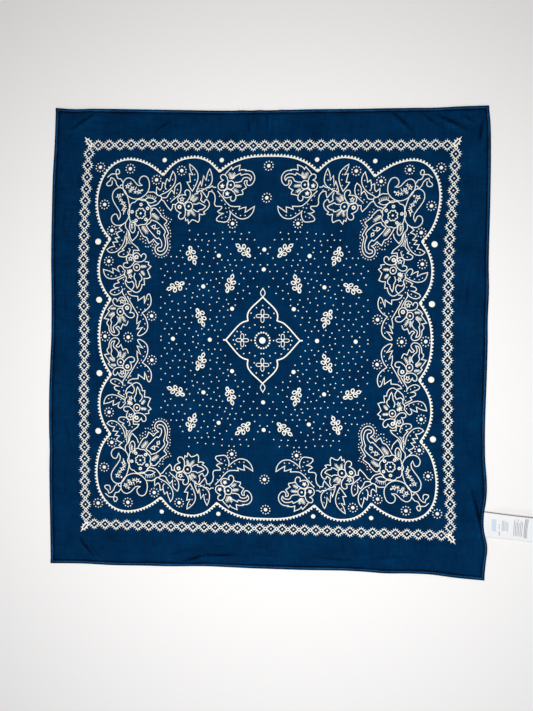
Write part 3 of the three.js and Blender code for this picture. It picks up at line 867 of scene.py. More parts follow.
def drawTopGarland():
    outline([(-131.6, 169.9, 1), (-132.6, 172.2), (-133.1, 175.0), (-132.8, 179.7, 1), (-130.6, 177.4),
             (-128.6, 176.0, 1), (-126.8, 178.4), (-126.3, 184.9, 1), (-124.4, 184.4), (-122.6, 182.6, 1),
             (-122.2, 186.4), (-121.2, 189.5, 1), (-117.9, 186.8, 1), (-117.0, 191.8), (-115.2, 196.0),
             (-114.6, 198.8, 1), (-112.2, 195.6), (-110.8, 191.0), (-111.1, 186.0), (-113.0, 181.4),
             (-116.1, 177.4), (-120.3, 173.9), (-125.6, 171.4), (-128.6, 169.0, 1)])
    outline([(-122.6, 182.6), (-122.9, 179.6), (-121.4, 177.0)], 0.8)
    outline([(-125.6, 167.2), (-122.6, 166.9), (-119.4, 168.1), (-117.6, 172.2), (-114.7, 176.4, 1),
             (-112.6, 174.6), (-111.0, 171.8, 1), (-111.2, 177.8), (-109.6, 182.2), (-105.5, 185.6, 1),
             (-104.0, 182.6), (-103.4, 177.8), (-104.2, 173.4), (-106.6, 169.8), (-111.5, 165.4, 1),
             (-113.4, 163.8)])
    dots([(-114.4, 188.8), (-116.5, 181.8), (-121.2, 177.4), (-124.3, 174.6), (-107.6, 177.3),
          (-108.2, 173.0), (-111.0, 168.8), (-115.1, 166.4), (-118.7, 163.8), (-114.2, 162.6)])
    outline([(-126.2, 165.0), (-122.9, 163.0), (-120.4, 159.2), (-117.4, 155.6), (-114.1, 152.4, 1),
             (-112.4, 155.4), (-112.2, 159.5, 1), (-108.4, 159.6)])
    flower(flowers[0])
    leaf((-89.6, 176.0), (-94.8, 207.5), 1, [(0.36, 0.17, 0.01, 0.13), (0.66, 0.05, 0.06, 0.125)],
         0.27, 1.15, 4)
    leaf((-84.6, 175.0), (-70.3, 202.5), 1, [(0.43, 0.07, 0.14, 0.13), (0.66, 0.08, 0.1, 0.18)],
         0.33, 1.1, 4)
    outline([(-86.6, 172.6), (-83.0, 173.4), (-82.4, 175.6), (-79.6, 176.7), (-76.2, 174.4),
             (-71.6, 168.4, 1), (-70.2, 172.0), (-69.6, 175.8, 1), (-65.8, 175.8), (-62.4, 172.0),
             (-61.4, 166.0), (-62.0, 161.8), (-60.0, 158.8), (-56.0, 158.8), (-53.0, 158.4, 1),
             (-53.2, 156.0), (-57.6, 152.8, 1), (-55.3, 150.8), (-50.3, 150.4, 1), (-55.4, 147.8),
             (-58.6, 143.8), (-57.4, 141.4), (-52.0, 140.3), (-46.7, 140.6), (-43.5, 144.4), (-42.2, 149.6),
             (-43.2, 153.8, 1), (-39.0, 149.4), (-33.6, 145.7), (-29.2, 144.1), (-24.3, 144.5),
             (-19.8, 146.6), (-16.2, 150.8), (-14.4, 155.2), (-13.9, 159.0, 1), (-19.0, 155.6),
             (-24.8, 151.8, 1), (-23.9, 158.0, 1), (-28.0, 157.2), (-32.4, 155.2, 1), (-31.2, 158.9, 1),
             (-36.0, 158.6), (-40.6, 158.8), (-44.2, 160.2), (-48.2, 163.8), (-51.6, 168.2),
             (-59.4, 176.8)])
    outline([(-73.6, 180.3), (-69.0, 180.6), (-66.2, 182.8, 1), (-64.6, 181.0), (-61.4, 181.0)])
    dots([(-82.0, 178.8), (-77.0, 179.0), (-72.6, 177.6), (-66.0, 177.4), (-56.5, 170.5), (-53.4, 165.6),
          (-49.2, 161.2), (-48.0, 156.6), (-44.2, 157.2), (-46.2, 152.0), (-39.6, 154.0), (-35.6, 150.4),
          (-30.0, 148.2), (-24.4, 148.2), (-47.6, 146.6), (-52.2, 145.2)])
    flower(flowers[1])


def drawMedallion():
    sides = [[(0.0, 51.6), (-7.0, 45.0), (-12.9, 39.4), (-17.2, 33.4), (-18.2, 28.2), (-17.4, 23.4)],
             [(-17.4, 23.4), (-24.6, 21.0), (-31.1, 15.4), (-37.4, 8.2), (-44.6, 0.0)]]
    for part in sides:
        line(smooth(part, 2.4), 1.5)
    outline([(0.0, 51.6, 1), (-2.6, 55.4), (-2.3, 58.4), (0.0, 62.2, 1), (2.3, 58.4), (2.6, 55.4)],
            None, True)
    line([(-44.0, 0.0), (-47.8, 0.0)], 1.7)
    dot((0.0, 0.0), 3.8, 14)
    for i in range(18):
        dot(polar((0.0, 0.0), 8.9, 20 * i, 1.06), 1.15, 6)
    crossOfLoops((0.0, 29.2))
    crossOfLoops((-24.4, 0.0))
    dots([(0.0, 41.7), (-7.4, 39.0), (-13.8, 32.4), (-9.8, 26.9), (-9.0, 18.4), (-15.6, 15.0),
          (-22.6, 16.1), (-30.6, 10.3), (-26.0, 9.9), (-20.4, 6.6), (-33.6, 5.0), (-35.2, 0.0),
          (-13.4, 0.0), (-1.6, 15.8)], 0.85)


largeDots = [(-37.0, 37.4), (-54.2, 100.3), (0.0, 108.1), (-72.5, 63.3), (-64.5, 0.0), (-109.9, 0.0)]
middleDots = [(0.0, 84.6), (0.0, -74.5)]  # not mirrored: the lower one stands closer to the middle
sprays = [  # middle, turn, side
    ((-87.0, 99.6), -70, 1), ((-24.6, 107.6), 140, 1), ((-105.6, 61.6), 203, -1), ((-39.4, 67.2), 73, 1),
    ((-75.4, 26.4), -68, -1),
]
fieldValues = {  # the field's rows of small dots, and what they leave clear, mm
    "across": 8.8, "along": 7.7, "first": 3.9, "reachU": 124, "reachV": 131,
    "largeGap": 5.4,  # round a large dot
    "sprayGap": (14.5, 9.5),  # along and across a spray
    "medallion": (49, 63),  # half its width and half its length
    "paisley": (127.0, 124.0), "paisleyGap": 30,  # round the long paisley
    "bareU": 13, "bareV": 114,  # the rows end lower near the upright middle line
}


def drawField():
    for spot in largeDots:
        dot(spot, inkSizes["largeDot"], 10)
    for centre, turn, flip in sprays:
        spray(centre, turn, flip)


def keepClear(u, v):
    # true where the small dots of the field leave room for something else
    for spot in largeDots + [(x, abs(y)) for x, y in middleDots]:
        if math.dist((u, v), spot) < fieldValues["largeGap"]:
            return True
    long, wide = fieldValues["sprayGap"]
    for centre, turn, _ in sprays:
        x, y = placed([(u - centre[0], v - centre[1])], (0, 0), -turn)[0]
        if (x / long) ** 2 + (y / wide) ** 2 < 1:
            return True
    a, b = abs(u), abs(v)
    wide, long = fieldValues["medallion"]
    inMedallion = (a / wide) ** 1.3 + (b / long) ** 1.3 < 1.0
    return inMedallion or math.dist((a, b), fieldValues["paisley"]) < fieldValues["paisleyGap"]


def drawFieldDots():
    # loose rows, each dot a little out of its place
    row = 0
    v = fieldValues["first"]
    while v < fieldValues["reachV"]:
        u = -fieldValues["across"] / (2 if row % 2 else 1)
        count = 0
        while u > -fieldValues["reachU"]:
            du = 1.9 * math.sin(12.9 * row * row + 7.1 * count) + 0.8 * math.sin(4.4 * count + row)
            dv = 1.8 * math.sin(5.3 * row + 11.7 * count * count) + 0.8 * math.sin(2.9 * count - 3.1 * row)
            bare = u > -fieldValues["bareU"] and v > fieldValues["bareV"]
            if not bare and not keepClear(u + du, v + dv):
                dot((u + du, v + dv), inkSizes["fieldDot"], 5)
            u -= fieldValues["across"]
            count += 1
        v += fieldValues["along"]
        row += 1


def drawPrint():
    for part in (drawBorder, drawScallop, drawDotRings, drawCorner, drawLeftGarland, drawTopGarland,
                 drawMedallion, drawField, drawFieldDots):
        part()
    # a mark that lies on a middle line isn't mirrored across it
    quarters = []
    for mark in inkMarks:
        spots = mark["points"]
        onU = abs(sum(p[0] for p in spots) / len(spots)) < 0.3
        onV = abs(sum(p[1] for p in spots) / len(spots)) < 0.3
        for su in ((1,) if onU else (1, -1)):
            for sv in ((1,) if onV else (1, -1)):
                quarters.append({**mark, "points": [(p[0] * su, p[1] * sv) for p in spots]})
    first = len(inkMarks)
    for spot in middleDots:
        dot(spot, inkSizes["largeDot"], 10)
    quarters += inkMarks[first:]
    return quarters


# Materials

cottonValues = {
    # from painted shade in the depth of a fold, through the cloudy dye, to a painted highlight on a crest
    "navy": ["#010f24", "#01213f", "#01294c", "#023157", "#0a4b78"],
    "print": "#faf8ec",
    "thread": 1.1,  # mm; the real threads are 0.3 mm apart, too fine to show here
    "slub": (16.0, 1.4),  # mm, length and width of the uneven yarns
}


def weaveBump(tree, strength):
    # plain weave: two sets of fine ridges that cross, over a slightly crumpled ground
    place = addNode(tree, "ShaderNodeTexCoord")
    scale = math.tau / 20 / (cottonValues["thread"] * mm)  # the node's bands repeat every tau / 20
    heights = []
    for direction in ("X", "Y"):
        wave = addNode(tree, "ShaderNodeTexWave", {"bands_direction": direction, "Scale": scale,
                                                   "Distortion": 1.2, "Detail": 1.0, "Detail Scale": 2.0},
                       {"Vector": place.outputs["Object"]})
        heights.append(wave.outputs["Fac"])
    both = addNode(tree, "ShaderNodeMath", {"operation": "ADD"})
    tree.links.new(heights[0], both.inputs[0])
    tree.links.new(heights[1], both.inputs[1])
    fine = addNode(tree, "ShaderNodeBump", {"Strength": strength, "Distance": 0.00003},
                   {"Height": both.outputs["Value"]})
    crumple = addNode(tree, "ShaderNodeTexNoise",
                      {"Scale": 38.0, "Detail": 3.0, "Roughness": 0.55, "Distortion": 0.6},
                      {"Vector": place.outputs["Object"]})
    broad = addNode(tree, "ShaderNodeBump", {"Strength": 0.35, "Distance": 0.0011},
                    {"Height": crumple.outputs["Fac"], "Normal": fine.outputs["Normal"]})
    return broad.outputs["Normal"]


def navyCotton(name="navy plain-weave cotton"):
    # dyed cotton: matt, with uneven yarns that run both ways and a cloudy, washed depth of colour, plus
    # painted shading from the cloth's attribute
    material, tree, shader = newMaterial(name)
    place = addNode(tree, "ShaderNodeTexCoord")
    long, wide = cottonValues["slub"]
    yarns = []
    for stretch in ((1 / long, 1 / wide, 1.0), (1 / wide, 1 / long, 1.0)):
        mapped = addNode(tree, "ShaderNodeMapping", {"Scale": tuple(k / mm for k in stretch)},
                         {"Vector": place.outputs["Object"]})
        noise = addNode(tree, "ShaderNodeTexNoise", {"Scale": 1.0, "Detail": 2.0, "Roughness": 0.6},
                        {"Vector": mapped.outputs["Vector"]})
        yarns.append(noise.outputs["Fac"])
    crossed = addNode(tree, "ShaderNodeMath", {"operation": "ADD"})
    tree.links.new(yarns[0], crossed.inputs[0])
    tree.links.new(yarns[1], crossed.inputs[1])
    cloud = addNode(tree, "ShaderNodeTexNoise", {"Scale": 30.0, "Detail": 6.0, "Roughness": 0.68},
                    {"Vector": place.outputs["Object"]})
    mixed = addNode(tree, "ShaderNodeMath", {"operation": "MULTIPLY_ADD"}, {0: crossed.outputs["Value"]})
    mixed.inputs[1].default_value = 0.5
    tree.links.new(cloud.outputs["Fac"], mixed.inputs[2])
    depth = addNode(tree, "ShaderNodeMapRange",
                    {"From Min": 0.72, "From Max": 1.28, "To Min": 0.2, "To Max": 0.8},
                    {"Value": mixed.outputs["Value"]})
    # painted shading, read from the piece's attribute: darker on the shaded side of creases and in the
    # hem's folds, paler on their lit side and ridges
    paintedShading = addNode(tree, "ShaderNodeAttribute")
    paintedShading.attribute_name = "paintedShading"
    shadedTone = addNode(tree, "ShaderNodeMath", {"operation": "MULTIPLY_ADD"},
                   {0: paintedShading.outputs["Fac"], 2: depth.outputs["Result"]})
    shadedTone.inputs[1].default_value = 0.5
    ramp = addNode(tree, "ShaderNodeValToRGB", None, {"Fac": shadedTone.outputs["Value"]})
    stops = ramp.color_ramp.elements
    for spot in (0.25, 0.5, 0.75):
        stops.new(spot)
    for stop, shade in zip(stops, cottonValues["navy"]):
        stop.color = srgb(shade)
    tree.links.new(ramp.outputs["Color"], shader.inputs["Base Color"])
    shader.inputs["Roughness"].default_value = 0.85
    shader.inputs["Specular IOR Level"].default_value = 0.015
    tree.links.new(weaveBump(tree, 0.5), shader.inputs["Normal"])
    return material


def bleachedCotton():
    # the print is where the dye was taken out: the cream of the bare yarn, with the same weave
    material, tree, shader = newMaterial("cream discharge-printed cotton")
    shader.inputs["Base Color"].default_value = srgb(cottonValues["print"])
    shader.inputs["Roughness"].default_value = 0.85
    shader.inputs["Specular IOR Level"].default_value = 0.3
    tree.links.new(weaveBump(tree, 0.35), shader.inputs["Normal"])
    return material


# The panel: a thin closed sheet whose triangles follow the edges of the print

panelValues = {  # mm
    "thick": 0.45, "inset": 0.5, "mapSize": 580.0,
    "grid": 8.2, "gridClear": 3.0,  # the loose grid, and the room it leaves round the print
    "creaseStep": 2.0, "creaseMargin": 1.2, "rimReach": 9.0,
}


def inkOutlines(marks):
    # the closed rings that bound the marks, on the cloth
    outlines = []
    for mark in marks:
        points = [onCloth(*p) for p in mark["points"]]
        mark["placed"] = points
        if mark["kind"] == "fill":
            outlines.append(points)
            continue
        closed = mark["kind"] == "loop"
        left, right = [], []
        count = len(points)
        for i in range(count):
            if closed:
                a, b, c = points[i - 1], points[i], points[(i + 1) % count]
            else:
                a, b, c = points[max(0, i - 1)], points[i], points[min(count - 1, i + 1)]
            half = (mark["width"] + (mark["end"] - mark["width"]) * i / max(1, count - 1)) / 2
            d1 = Vector(b) - Vector(a)
            d2 = Vector(c) - Vector(b)
            d1 = d1.normalized() if d1.length > 1e-9 else d2.normalized()
            d2 = d2.normalized() if d2.length > 1e-9 else d1
            along = (d1 + d2).normalized() if (d1 + d2).length > 1e-6 else d1
            reach = half / max(0.5, along.dot(d1))
            n = Vector((-along.y, along.x)) * reach
            left.append((b[0] + n.x, b[1] + n.y))
            right.append((b[0] - n.x, b[1] - n.y))
        outlines += [left, right] if closed else [left + right[::-1]]
    return outlines


def insidePolygon(spots, polygon):
    inside = np.zeros(len(spots), bool)
    for (x0, y0), (x1, y1) in zip(polygon, np.roll(polygon, -1, 0)):
        if y0 != y1:
            crosses = (y0 > spots[:, 1]) != (y1 > spots[:, 1])
            inside ^= crosses & (spots[:, 0] < (x1 - x0) * (spots[:, 1] - y0) / (y1 - y0) + x0)
    return inside


def inkedTriangles(centres, marks):
    # which triangles lie inside a mark
    inked = np.zeros(len(centres), bool)
    order = np.argsort(centres[:, 0])
    xs = centres[order, 0]
    for mark in marks:
        pts = np.array(mark["placed"])
        pad = max(mark["width"], mark["end"]) / 2
        low, high = pts.min(0) - pad, pts.max(0) + pad
        near = order[np.searchsorted(xs, low[0]):np.searchsorted(xs, high[0])]
        near = near[(centres[near, 1] >= low[1]) & (centres[near, 1] <= high[1])]
        if not len(near):
            continue
        c = centres[near]
        if mark["kind"] == "fill":
            inside = insidePolygon(c, pts)
        else:
            a = pts if mark["kind"] == "loop" else pts[:-1]
            b = np.roll(pts, -1, 0) if mark["kind"] == "loop" else pts[1:]
            count = len(a)
            inside = np.zeros(len(c), bool)
            for i in range(count):
                ab = b[i] - a[i]
                size = ab @ ab
                share = np.clip(((c - a[i]) @ ab) / size if size else 0, 0, 1)
                gap = np.hypot(*(c - a[i] - share[:, None] * ab).T)
                half = (mark["width"] + (mark["end"] - mark["width"]) * (i + share) / max(1, count)) / 2
                inside |= gap <= half
        inked[near[inside]] = True
    return inked


def insetPoint(s, t):
    inset = panelValues["inset"]
    return clothPoint(s * (1 - inset / halfWidth), t * (1 - inset / halfLength))


def rimPoints(across, along):
    spots = [(-1 + 2 * i / across, -1) for i in range(across)]
    spots += [(1, -1 + 2 * i / along) for i in range(along)]
    spots += [(1 - 2 * i / across, 1) for i in range(across)]
    spots += [(-1, 1 - 2 * i / along) for i in range(along)]
    return [insetPoint(s, t) for s, t in spots]


def cellOf(x, y, size):
    # the square cell that a point lies in
    return round(x / size), round(y / size)


def gridPoints(across, along, taken):
    # a loose grid wherever the print leaves room
    points = []
    for i in range(1, across):
        for j in range(1, along):
            shift = 0.5 if j % 2 and i < across - 1 else 0.0
            x, y = insetPoint(-1 + 2 * (i + shift) / across, -1 + 2 * j / along)
            if cellOf(x, y, panelValues["gridClear"]) not in taken:
                points.append((x, y))
    return points


def creasePoints(taken):
    # closer points along the fine creases, so that they bend the sheet
    points = []
    for cx, cy, turn, long, wide, _ in softCreases:
        c, s = math.cos(math.radians(turn)), math.sin(math.radians(turn))
        steps = round(long / panelValues["creaseStep"])
        for i in range(-steps, steps + 1):
            for row in (-1.0, -0.5, 0.0, 0.5, 1.0, 1.5):
                along, across = long * i / steps, wide * row
                x, y = cx + along * c - across * s, cy + along * s + across * c
                if clothInside(x, y, panelValues["creaseMargin"]) and cellOf(x, y, 1) not in taken:
                    points.append((x, y))
    return points


def fillSheet(outlines):
    # flat triangles whose edges follow the print and the rim
    across, along = (round(clothSize[way] / panelValues["grid"]) for way in ("width", "length"))
    rim = rimPoints(across, along)
    points, edges = [], []
    for spots in outlines + [rim]:
        first = len(points)
        points += spots
        edges += [(first + i, first + (i + 1) % len(spots)) for i in range(len(spots))]
    printed = points[:len(points) - len(rim)]
    points += gridPoints(across, along, {cellOf(x, y, panelValues["gridClear"]) for x, y in printed})
    points += creasePoints({cellOf(x, y, 1) for x, y in points})
    print("print outlines:", len(outlines), "points:", len(points))
    flat, _, triangles, _, _, _ = delaunay_2d_cdt([Vector(p) for p in points], edges, [], 1, 1e-4, True)
    flat = np.array([(p.x, p.y) for p in flat])
    triangles = np.array([t for t in triangles if len(t) == 3])
    # the filling reaches straight across the hollows of the rim, so those triangles go
    centres = flat[triangles].mean(1)
    inner = np.array((halfWidth, halfLength)) - panelValues["rimReach"]
    nearRim = (np.abs(centres) > inner).any(1)
    kept = ~nearRim
    kept[nearRim] = insidePolygon(centres[nearRim], np.array(rim))
    return flat, triangles[kept]


def makePanel(navy, cream):
    marks = drawPrint()
    flat, triangles = fillSheet(inkOutlines(marks))
    inked = inkedTriangles(flat[triangles].mean(1), marks)
    count = len(flat)
    heights = [clothHeight(x, y) for x, y in flat]
    verts = [(x * mm, y * mm, (h + panelValues["thick"]) * mm) for (x, y), h in zip(flat, heights)]
    verts += [(x * mm, y * mm, h * mm) for (x, y), h in zip(flat, heights)]
    faces = [tuple(t) for t in triangles] + [(c + count, b + count, a + count) for a, b, c in triangles]
    slots = [int(k) for k in inked] * 2
    # a narrow wall closes the sheet along its rim
    sides = {(t[i], t[(i + 1) % 3]): True for t in triangles for i in range(3)}
    for a, b in sides:
        if (b, a) not in sides:
            faces.append((b, a, a + count, b + count))
            slots.append(0)
    panel = newPiece("cloth", verts, faces, [navy, cream], slots)
    # painted shading along the fine creases, on both sides of the sheet
    setPaintedShading(panel, [creasePaintedShading(x, y) for x, y in flat] * 2)
    setFlatUv(panel)
    print("cloth triangles:", 2 * len(triangles), "inked share:", round(float(inked.mean()), 3))
    return panel


def setFlatUv(piece):
    # one map for both sides, square to the cloth, so that a baked colour keeps its scale
    mesh = piece.data
    corners = np.zeros(len(mesh.loops), np.int32)
    mesh.loops.foreach_get("vertex_index", corners)
    places = np.zeros(3 * len(mesh.vertices), np.float32)
    mesh.vertices.foreach_get("co", places)
    flat = places.reshape(-1, 3)[corners, :2] / mm
    layer = mesh.uv_layers.new(name="OFBake")
    layer.data.foreach_set("uv", (flat / panelValues["mapSize"] + 0.5).astype(np.float32).ravel())


def setPaintedShading(piece, values):
    # a value per point of painted shading: below zero painted darker, above zero painted paler
    layer = piece.data.attributes.new("paintedShading", "FLOAT", "POINT")
    layer.data.foreach_set("value", np.array(values, np.float32))


# Hems: the edge turned over twice onto the upper side, and stitched

hemValues = {
    "step": 5.0,  # mm, between the cross-sections
    "sideEnd": 4.4,  # mm; the side hems stop short of the corners
    "stitch": 3.2, "stitchLong": 2.2, "stitchThick": 0.42, "stitchFromEdge": 2.7, "stitchFromEnd": 2.6,
    "stitchUp": (1.12, 0.23),  # mm above the cloth's underside: the upper row and the lower one
    "thread": ("#073660", "#2b5f8b"),
}
hemSection = [  # inward from the edge and up from the underside in mm, and the painted shading there: below zero painted shade, above zero painted highlight
    (0.55, 0.0, -0.9), (0.12, 0.22, -1.0), (0.0, 0.6, -1.2), (0.22, 1.02, -1.2), (0.8, 1.28, -1.0),
    (1.6, 1.32, 0.1), (2.2, 1.3, 0.8), (2.8, 1.18, 0.7), (3.3, 1.06, -0.1), (3.8, 1.12, -0.75),
    (4.3, 1.04, -0.85), (4.75, 0.85, -0.85), (4.9, 0.5, -0.9), (4.4, 0.3, -0.6), (2.2, 0.3, 0.0),
    (0.9, 0.05, -0.6),
]


def hemPoint(side, run, inward):
    half = halfLength if side in ("top", "bottom") else halfWidth
    edge = 1 - inward / half
    return {"top": clothPoint(run, edge), "bottom": clothPoint(run, -edge),
            "left": clothPoint(-edge, run), "right": clothPoint(edge, run)}[side]


def makeHem(side, material):
    level = side in ("top", "bottom")
    length = clothSize["width"] if level else clothSize["length"]
    count = round(length / hemValues["step"])
    end = 1.0 if level else 1 - hemValues["sideEnd"] / halfLength
    rings = []
    for i in range(count + 1):
        run = (-1 + 2 * i / count) * end
        # hand-turned: the fold is a little uneven
        sway = 0.16 * math.sin(i * 1.7 + len(side)) + 0.1 * math.sin(i * 0.53)
        row = []
        for inward, up, _ in hemSection:
            x, y = hemPoint(side, run, inward + (sway if inward > 2 else 0))
            row.append((x * mm, y * mm, (clothHeight(x, y) + up * (1 + 0.06 * math.sin(i * 2.3))) * mm))
        rings.append(row)
    size = len(hemSection)
    verts = [p for row in rings for p in row]
    faces = []
    for r in range(count):
        for i in range(size):
            a, b = r * size + i, r * size + (i + 1) % size
            faces.append((a, b, b + size, a + size))
    faces.append(tuple(range(size))[::-1])
    faces.append(tuple(count * size + i for i in range(size)))
    if side in ("top", "left"):
        faces = [f[::-1] for f in faces]
    piece = newPiece(f"{side}_hem", verts, faces, [material])
    # painted shading across the fold: darker at the outer edge and in the fold along the inner edge, paler
    # on the ridge
    setPaintedShading(piece, [shadedTone for _ in rings for _, _, shadedTone in hemSection])
    setFlatUv(piece)
    return piece


def stitchThread():
    # cotton-wrapped polyester thread, a shade lighter than the cloth, so that it reads as dashes
    material, tree, shader = newMaterial("blue sewing thread")
    place = addNode(tree, "ShaderNodeTexCoord")
    noise = addNode(tree, "ShaderNodeTexNoise", {"Scale": 220.0, "Detail": 1.0},
                    {"Vector": place.outputs["Object"]})
    ramp = addNode(tree, "ShaderNodeValToRGB", None, {"Fac": noise.outputs["Fac"]})
    stops = ramp.color_ramp.elements
    stops[0].position, stops[1].position = 0.35, 0.7
    stops[0].color, stops[1].color = (srgb(shade) for shade in hemValues["thread"])
    tree.links.new(ramp.outputs["Color"], shader.inputs["Base Color"])
    shader.inputs["Roughness"].default_value = 0.6
    shader.inputs["Sheen Weight"].default_value = 0.2
    return material


def makeStitches(material):
    verts, faces = [], []

    def stitch(middle, along, up):
        side = along.cross(up).normalized()
        first = len(verts)
        long, thick = hemValues["stitchLong"] / 2, hemValues["stitchThick"] / 2
        for share, size in ((-1, 0.25), (-0.75, 0.85), (0, 1.0), (0.75, 0.85), (1, 0.25)):
            for k in range(6):
                angle = math.tau * k / 6
                out = (side * math.cos(angle) * 1.1 + up * math.sin(angle)) * thick * size
                verts.append((middle + along * long * share + out) * mm)
        for r in range(4):
            for k in range(6):
                a, b = first + r * 6 + k, first + r * 6 + (k + 1) % 6
                faces.append((a, a + 6, b + 6, b))
        faces.append(tuple(first + k for k in range(6)))
        faces.append(tuple(first + 24 + k for k in range(6))[::-1])

    for side in ("top", "bottom", "left", "right"):
        level = side in ("top", "bottom")
        length = clothSize["width"] if level else clothSize["length"]
        end = 1 - hemValues["stitchFromEnd"] / (length / 2)
        count = round(length / hemValues["stitch"])
        for i in range(count):
            run = (-1 + 2 * (i + 0.5) / count) * end
            inward = hemValues["stitchFromEdge"] + 0.15 * math.sin(i * 0.37)
            a = Vector(hemPoint(side, run - 0.004, inward)).to_3d()
            b = Vector(hemPoint(side, run + 0.004, inward)).to_3d()
            middle = (a + b) / 2
            along = (b - a).normalized()
            for rise in hemValues["stitchUp"]:
                spot = Vector((middle.x, middle.y, clothHeight(middle.x, middle.y) + rise))
                stitch(spot, along, Vector((0, 0, 1)))
    return newPiece("hem_stitches", verts, faces, [material])


# The label: a ribbon of white satin, its upper edge and free end lifted a little

labelValues = {
    "length": 70.0, "width": 30.0, "thick": 0.3, "selvedge": 1.3, "overlayUp": 0.03,
    "rootY": -213.3, "rootInside": 0.7, "rootUp": 0.25,  # where it leaves the hem
    "turn": -5.0, "upperLift": 3.2, "endLift": 1.4,
    "satin": ("#f2f2f3", "#fafafb"),
    # the last colour is a painted shadow along the lifted upper edge, not an ink
    "inksAndShadow": {"grey ribbon ink": "#8d8f98", "pale blue ribbon ink": "#d3dfeb", "painted shadow along the upper edge": "#7d7678"},
}


def labelPoint(run, side, up):
    # run from the hem to the free end, side from the lower edge to the upper one
    turn = math.radians(labelValues["turn"])
    across = (side - 0.5) * labelValues["width"]
    rootX, _ = clothPoint(1 - labelValues["rootInside"] / halfWidth,
                          (labelValues["rootY"] + across) / halfLength)
    endX = clothPoint(1, labelValues["rootY"] / halfLength)[0] + labelValues["length"] * math.cos(turn)
    x = rootX + (endX - across * math.sin(turn) - rootX) * run
    y = labelValues["rootY"] + across + run * labelValues["length"] * math.sin(turn)
    curl = labelValues["upperLift"] * side ** 3 * math.sin(math.pi * 0.9 * run)
    curl += labelValues["endLift"] * run ** 4
    root = clothHeight(rootX, y) + labelValues["rootUp"]
    return (x * mm, y * mm, (root * (1 - run) ** 3 + curl + up) * mm)


def whiteSatin():
    # satin ribbon: bright white, with a soft sheen along its floats and fine ribs across
    material, tree, shader = newMaterial("white satin ribbon")
    place = addNode(tree, "ShaderNodeTexCoord")
    ribs = addNode(tree, "ShaderNodeTexWave", {"bands_direction": "Y", "Scale": 320.0, "Distortion": 0.4},
                   {"Vector": place.outputs["Object"]})
    bump = addNode(tree, "ShaderNodeBump", {"Strength": 0.12, "Distance": 0.0001},
                   {"Height": ribs.outputs["Fac"]})
    cloud = addNode(tree, "ShaderNodeTexNoise", {"Scale": 60.0, "Detail": 2.0},
                    {"Vector": place.outputs["Object"]})
    ramp = addNode(tree, "ShaderNodeValToRGB", None, {"Fac": cloud.outputs["Fac"]})
    for stop, shade in zip(ramp.color_ramp.elements, labelValues["satin"]):
        stop.color = srgb(shade)
    tree.links.new(ramp.outputs["Color"], shader.inputs["Base Color"])
    shader.inputs["Roughness"].default_value = 0.42
    shader.inputs["Sheen Weight"].default_value = 0.1
    tree.links.new(bump.outputs["Normal"], shader.inputs["Normal"])
    return material


def labelInkAndShadow(name, colour):
    # ribbon ink: thin and matt, in plain bars; the same flat colour also makes the painted shadow along the
    # label's upper edge
    material, tree, shader = newMaterial(name)
    shader.inputs["Base Color"].default_value = srgb(colour)
    shader.inputs["Roughness"].default_value = 0.6
    return material


labelBars = [  # from the hem, from the lower edge, length along the width, thickness, all mm; ink
    (9.8, 7.8, 14.2, 5.2, 1), (17.9, 3.4, 5.2, 0.8, 0), (18.3, 11.0, 6.4, 0.5, 0),
    (21.6, 9.4, 12.0, 0.5, 0), (23.2, 9.0, 12.6, 0.5, 0), (24.8, 9.8, 11.4, 0.5, 0),
    (26.4, 9.2, 10.6, 0.5, 0), (28.2, 9.0, 11.8, 0.5, 0), (35.3, 4.6, 20.4, 0.6, 0),
    (37.1, 5.4, 16.0, 0.6, 0), (38.9, 4.8, 20.6, 0.6, 0), (40.7, 6.0, 14.6, 0.6, 0),
    (42.6, 4.4, 19.6, 0.6, 0), (44.5, 5.2, 17.0, 0.6, 0), (47.2, 3.6, 23.6, 0.8, 0),
    (48.7, 3.8, 22.8, 0.8, 0), (50.2, 3.6, 23.2, 0.6, 0), (58.0, 6.0, 17.0, 0.6, 0),
    (59.8, 6.4, 14.0, 0.6, 0), (61.6, 6.0, 18.0, 0.6, 0),
]


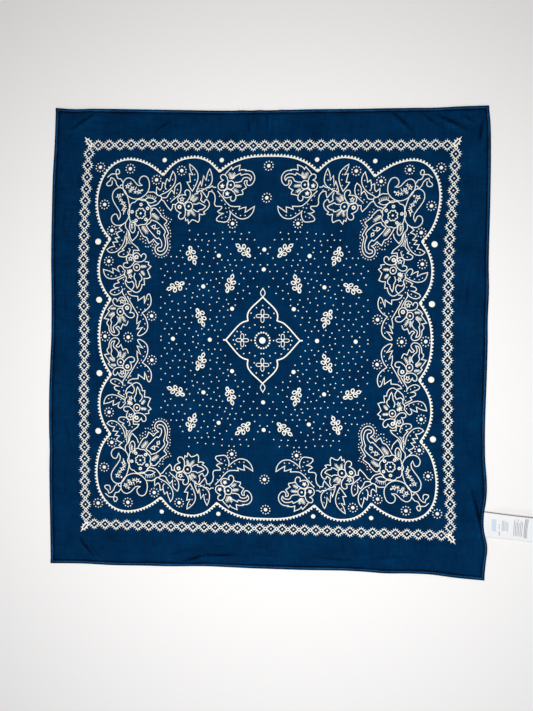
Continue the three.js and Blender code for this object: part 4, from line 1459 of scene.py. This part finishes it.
def ribbonFaces(along, across):
    # a thin closed ribbon: upper and lower faces, then its four edges
    size = (along + 1) * (across + 1)

    def at(level, i, j):
        return level * size + i * (across + 1) + j

    faces = []
    for i in range(along):
        for j in range(across):
            faces.append((at(0, i, j), at(0, i + 1, j), at(0, i + 1, j + 1), at(0, i, j + 1)))
            faces.append((at(1, i, j), at(1, i, j + 1), at(1, i + 1, j + 1), at(1, i + 1, j)))
    for i in range(along):
        faces.append((at(0, i, 0), at(1, i, 0), at(1, i + 1, 0), at(0, i + 1, 0)))
        faces.append((at(0, i, across), at(0, i + 1, across), at(1, i + 1, across), at(1, i, across)))
    for j in range(across):
        faces.append((at(0, 0, j), at(0, 0, j + 1), at(1, 0, j + 1), at(1, 0, j)))
        faces.append((at(0, along, j), at(1, along, j), at(1, along, j + 1), at(0, along, j + 1)))
    return faces


def makeLabel(satin, inksAndShadow):
    along, across = 28, 12
    length, width = labelValues["length"], labelValues["width"]
    verts = [labelPoint(i / along, j / across, up)
             for up in (labelValues["thick"], 0.0) for i in range(along + 1) for j in range(across + 1)]
    faces = ribbonFaces(along, across)
    slots = [0] * len(faces)
    overlayUp = labelValues["thick"] + labelValues["overlayUp"]
    steps = 6
    for far, low, long, thick, ink in labelBars:
        first = len(verts)
        for k in range(steps + 1):
            side = (low + long * k / steps) / width
            verts.append(labelPoint(far / length, side, overlayUp))
            verts.append(labelPoint((far + thick) / length, side, overlayUp))
        for a in range(first, first + 2 * steps, 2):
            faces.append((a, a + 1, a + 3, a + 2))
            slots.append(1 + ink)
    # a painted shadow: a dark strip along the upper selvedge stands for the shade under its lifted edge
    first = len(verts)
    for i in range(along + 1):
        for side in (1 - labelValues["selvedge"] / width, 1.0):
            verts.append(labelPoint(i / along, side, overlayUp))
    for a in range(first, first + 2 * along, 2):
        faces.append((a, a + 2, a + 3, a + 1))
        slots.append(3)
    return newPiece("care_label_ribbon", verts, faces, [satin] + inksAndShadow, slots)


makeCamera()
makeStudio()
print("stage 1: camera, lights and ground")

navy = navyCotton()
cream = bleachedCotton()
panel = makePanel(navy, cream)
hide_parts("cloth_panel")
print("stage 2: printed panel")

hemCotton = navyCotton("navy cotton, folded hem")
hems = []
for side in ("top", "bottom", "left", "right"):
    hem = makeHem(side, hemCotton)
    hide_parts(f"hem_{side}")
    hems.append(hem)
stitches = makeStitches(stitchThread())
print("stage 3: hems and stitches")

label = makeLabel(whiteSatin(), [labelInkAndShadow(name, colour) for name, colour in labelValues["inksAndShadow"].items()])
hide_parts("care_label")
print("stage 4: label")

for piece in [panel, stitches, label] + hems:
    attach(piece, "root")
